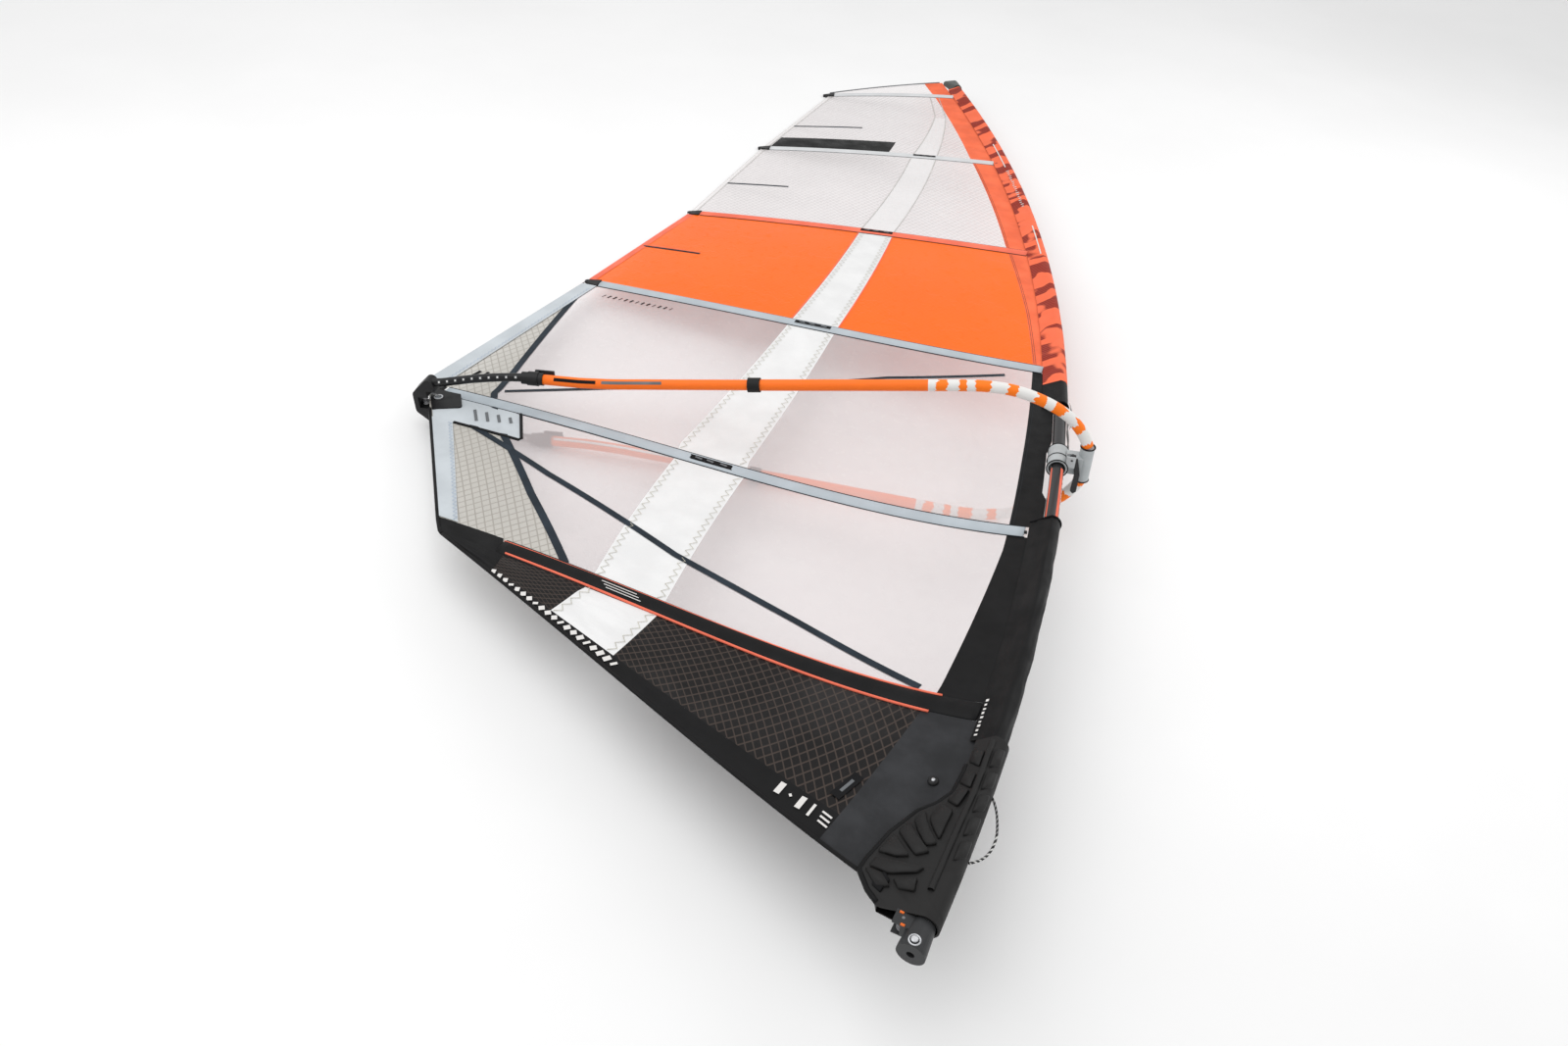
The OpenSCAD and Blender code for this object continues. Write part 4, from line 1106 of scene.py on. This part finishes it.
def mast_pad():
    parts = Parts()
    points, uv = luff_grid(PAD_LOW, PAD_TOP, lambda y: PAD_NOSE, pad_aft, PAD_HALF, 0.012, 0.008)
    parts.grid(points, uv)
    for row, turned in ((points[0], True), (points[-1], False)):
        parts.grid(np.stack([row, row * 0.9 + row.mean(axis=0) * 0.1]), flip=turned)
    parts.grid(np.stack([points[:, 0], points[:, -1]], axis=1), flip=True)
    for corners in REAR_BLOCKS:
        block(parts, corners, 0.0075)
    for low, high in FRONT_BLOCKS:
        block(parts, ((low, -0.25), (low + 0.022, -0.85), (high + 0.014, -0.85), (high, -0.25)), 0.0055)
        if low > 0.34:
            block(parts, ((low + 0.002, 0.30), (low + 0.020, 0.92), (high + 0.010, 0.92),
                          (high - 0.004, 0.30)), 0.0055)
    spine = np.array([pad_point(y, 0.06, 0.001) for y in np.linspace(0.11, 0.472, 50)])
    parts.grid(*tube_grid(spine, 0.0065, 12), loop=True)
    parts.stand_in("mast_pad", LOOKS["pad_rubber"])
    rim = [pad_point(y, 0.985, -0.004) for y in np.linspace(0.067, 0.42, 60)]
    add_tube("pad binding", rim, 0.0062, LOOKS["black_cloth"], 10)
    plate = Parts()
    block(plate, ((0.108, 0.60), (0.124, 0.66), (0.094, 0.90), (0.082, 0.80)), 0.0055)
    plate.make("pad recess", DARK_MARK)


# ---- Mast ----
def mast_radius(y):
    return MAST_R + (TIP_R - MAST_R) * np.maximum(0, np.asarray(y) - 1.7) / (MAST_LENGTH - 1.7)


def mast_path(low, high, step):
    return on_mast(np.linspace(low, high, max(2, int((high - low) / step) + 1)))


def wrap_patch(parts, path, radius, first, last, ref=(0, 0, 1)):
    """A strip on a tube's surface, between two angles round it."""
    angle = np.radians(np.linspace(first, last, 7))
    parts.grid(*arc_grid(path, radius, angle, angle * 0.02, ref))


def mast():
    for name, node, low, high in (("lower mast", "mast_bottom", 0.118, JOINT_Y),
                                  ("upper mast", "mast_top", JOINT_Y, MAST_LENGTH)):
        path = mast_path(low, high, 0.03)
        stand_in(add_tube(name, path, mast_radius(path[:, 1]), LOOKS["mast_carbon"], 32, wall=0.003),
                 node)
    stripes = Parts()
    for first, last in ((28, 44), (118, 148)):
        wrap_patch(stripes, mast_path(1.235, 1.468, 0.01), MAST_R + 0.0004, first, last)
    stripes.make("mast stripes", CORAL_BRIGHT)
    dashes = Parts()
    for k in range(6):
        y = 1.30 + 0.022 * k
        wrap_patch(dashes, mast_path(y, y + 0.014, 0.005), MAST_R + 0.0008, 150, 158)
    dashes.make("mast marks", PALE_MARK)
    # Cords that hang down the front of the mast from under the sleeve's flap; the silvery one is a
    # painted highlight along the mast's glossy front edge and the dark one is painted shade beside it
    for k, (out, z, look) in enumerate(((0.0225, 0.009, MAST_HIGHLIGHT_CORD), (0.0235, 0.003, DARK_STITCH))):
        path = on_mast(np.linspace(1.577, CUTOUT[1] - 0.012, 24))
        path += np.stack([out + 0.002 * np.sin(path[:, 1] * 40 + k), 0 * path[:, 1],
                          np.full(24, z)], axis=1)
        add_tube(f"front cord {k}", path, 0.0021, look, 10)


# ---- Boom ----
def arm_path(straight, bent, steps, side):
    p = np.vstack([np.array(straight), smooth(bent, steps)])
    return boom_to_rig(np.stack([p[:, 0], np.zeros(len(p)), side * p[:, 1]], axis=1))


def grip_print():
    """White grip printed with orange shapes that run across it, in no lettering."""
    look = Look("printed grip")
    band = look.wave(4.6, "X", 5.5, at=look.turned(0, (1, 0.03, 1)))
    blob = look.times(look.noise(11, 1.0), 0.6)
    mask = look.ramp(look.math("ADD", look.times(band, 0.55), blob), 0.60, 0.63)
    grip = look.noise(700, 2)
    look.bump(grip, 0.25, 0.0004)
    return look.done(look.mix(mask, (0.78, 0.77, 0.75), ORANGE),
                     look.ramp(grip, 0.3, 0.7, 0.42, 0.55))


PRINT_START = -0.385


def arm_label(name, path, start, stop, look, low, high):
    """A strip on a boom arm, between two distances from the mast and two angles; the upper arm's strips
    are prints, the lower arm's is a painted highlight along its top.
    """
    label = Parts()
    wrap_patch(label, resample(boom_span(path, start, stop), 0.01), ARM_R - 0.0005, low, high,
               ref=ACROSS)
    label.make(name, look, "boom")


def boom():
    looks = [LOOKS["boom_grip"], grip_print()]
    arms = {}
    for name, side in (("upper", 1), ("lower", -1)):
        arm = arms[name] = arm_path(ARM_STRAIGHT, ARM_BEND, 12, side)
        from_mast = arm[:, 0] - mast_x(BOOM_Y)
        parts = Parts()
        parts.tube(arm, np.where(from_mast > -0.83, ARM_R, ARM_R - 0.001), 32, ACROSS,
                   mat=lambda i, j: int(from_mast[i] > PRINT_START))
        piece = parts.make(f"{name} boom arm", looks, "boom")
        tube = arm_path(TUBE_STRAIGHT, TUBE_BEND, 8, side)
        tail = add_tube(f"{name} tail tube", tube, TAIL_R, LOOKS["black_aluminium"], 28, ACROSS,
                        "tail", 0.002)
        for part, node in ((piece, "boom_arms"), (tail, "tail_tubes")):
            if side > 0:
                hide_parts(node)
        holes, rims = Parts(), Parts()
        dense = resample(tube, 0.002)
        for k in range(10):
            i = int((0.172 + 0.0262 * k) / 0.002)
            for marks, half, lift, arc in ((rims, 2, 0.0002, 18), (holes, 1, 0.0004, 11)):
                wrap_patch(marks, dense[i - half:i + half + 1], TAIL_R + lift, 302 - arc, 302 + arc,
                           ACROSS)
        rims.make(f"{name} boom arm hole rims", GREY_MARK, "tail")
        holes.make(f"{name} boom arm holes", PALE_MARK, "tail")
    arm_label("arm label 0", arms["upper"], -1.404, -1.283, DARK_MARK, 206, 244)
    arm_label("arm label 1", arms["upper"], -1.266, -1.094, GREY_MARK, 206, 240)
    # Painted highlight: a white strip where light falls on the top of the lower arm
    arm_label("lower arm painted highlight", arms["lower"], -1.43, -1.05, LOWER_ARM_HIGHLIGHT, 196, 224)


def boom_span(path, start, stop):
    """The part of a boom path between two distances from the mast."""
    x = path[:, 0] - mast_x(BOOM_Y)
    order = np.argsort(x)
    stations = np.linspace(start, stop, 24)
    return np.stack([np.interp(stations, x[order], path[order, k]) for k in range(3)], axis=1)


def boom_details():
    """Rubber edges on the clamp, square to the mast, and rings at the head's sockets."""
    t = np.linspace(0, 2 * math.pi, 40)
    clamp = turn_z(-CLAMP_TURN)
    for k, (y, r) in enumerate(((-0.040, 0.0280), (-0.006, 0.0283), (0.040, 0.0280))):
        ring = np.stack([r * np.cos(t), np.full_like(t, y), r * np.sin(t)], axis=1) @ clamp.T
        add_tube(f"clamp edge {k}", boom_to_rig(ring), 0.0016, LOOKS["black_rubber"], 8,
                 (0, 1, 0.01), "boom")
    for k, z in enumerate((-0.053, 0.053)):
        ring = np.stack([0.072 + 0.0188 * np.cos(t), 0.0188 * np.sin(t), np.full_like(t, z)], axis=1)
        add_tube(f"head socket ring {k}", boom_to_rig(ring), 0.0022, LOOKS["black_rubber"], 8,
                 body="boom")


# ---- Ropes ----
TAIL = ((0.116, 0.362, 0.002), (0.124, 0.352, 0.002), (0.132, 0.330, -0.002),
        (0.136, 0.304, -0.008), (0.136, 0.278, -0.014), (0.130, 0.254, -0.017),
        (0.120, 0.234, -0.016), (0.108, 0.218, -0.010), (0.098, 0.208, -0.004), (0.088, 0.200, 0.0))
TAIL_RADIUS = 0.0025


def downhaul_tail():
    path = smooth(TAIL, 8)
    change = int(0.42 * len(path))
    parts = Parts()
    parts.tube(path, TAIL_RADIUS, 14, mat=lambda i, j: int(i >= change), end=1)
    striped = rope_look("striped braid", (0.03, 0.03, 0.032), (0.62, 0.62, 0.60), 60)
    piece = parts.stand_in("downhaul_tail", [LOOKS["rope_dark"], striped])


OUTHAUL = ((-1.513, 1.467, 0.0106), (-1.524, 1.470, 0.012), (-1.540, 1.472, 0.011),
           (-1.553, 1.4706, 0.009))


def lines():
    parts = Parts()
    for side in (1, -1):
        parts.tube(smooth(np.array(OUTHAUL) * (1, 1, side), 8), 0.0018, 12, flip=side < 0)
    parts.stand_in("outhaul_line", LOOKS["rope"])
    parts = Parts()
    for z in (-0.009, 0.0, 0.009):
        for x in (-0.0453, -0.0227):
            parts.tube(base_to_rig([(x, y, z) for y in np.linspace(0.050, 0.168, 12)]), 0.002, 12)
    parts.stand_in("downhaul_line", LOOKS["rope"], "downhaul purchase")


def base_details():
    """Steel collar round the base's release button, and two orange catches."""
    ring = [(0.0098 * math.cos(t), 0.014 + 0.0098 * math.sin(t), 0.0262)
            for t in np.linspace(0, 2 * math.pi, 40)]
    add_tube("button collar", base_to_rig(ring), 0.0018, LOOKS["steel"], 10)
    for k, (x, y, z) in enumerate(((-0.030, 0.036, 0.0172), (-0.040, 0.058, 0.0168))):
        catch = base_to_rig([(x - 0.004, y, z), (x + 0.004, y, z)])
        add_tube(f"base catch {k}", resample(catch, 0.002), 0.0024, ORANGE_PLASTIC, 10)


# ---- Carried-over CAD nodes, floor and light ----
def paint_nodes():
    for node, piece in frame["nodes"].items():
        piece.data.materials.clear()
        piece.data.materials.append(LOOKS[SLOT_OF[node]])


def floor_and_light():
    bpy.ops.mesh.primitive_plane_add(size=40, location=(0, 0, -0.0005))
    floor = bpy.context.object
    floor.name = "studio_floor"
    floor.data.materials.append(floor_look())
    world = bpy.data.worlds.new("studio")
    world.use_nodes = True
    world.node_tree.nodes["Background"].inputs["Color"].default_value = (1, 1, 1, 1)
    world.node_tree.nodes["Background"].inputs["Strength"].default_value = 0.78
    bpy.context.scene.world = world
    bpy.context.scene.view_settings.view_transform = "Standard"
    for name, place, size, power in (("key", (-1.5, -1.0, 4.2), 5.0, 95),
                                     ("side", (3.6, 1.5, 3.0), 3.0, 40)):
        data = bpy.data.lights.new(name, "AREA")
        data.shape = "SQUARE"
        data.size = size
        data.energy = power
        light = bpy.data.objects.new(name, data)
        bpy.context.scene.collection.objects.link(light)
        light.location = place
        light.rotation_mode = "QUATERNION"
        light.rotation_quaternion = (-Vector(place)).to_track_quat("-Z", "Y")


downhaul_tail()
paint_nodes()
panels()
sleeves()
battens()
connector_windows()
tapes()
stitching()
patches()
foot_and_window_marks()
press_stud()
sleeve_prints()
mast_pad()
mast()
boom()
boom_details()
lines()
base_details()
floor_and_light()
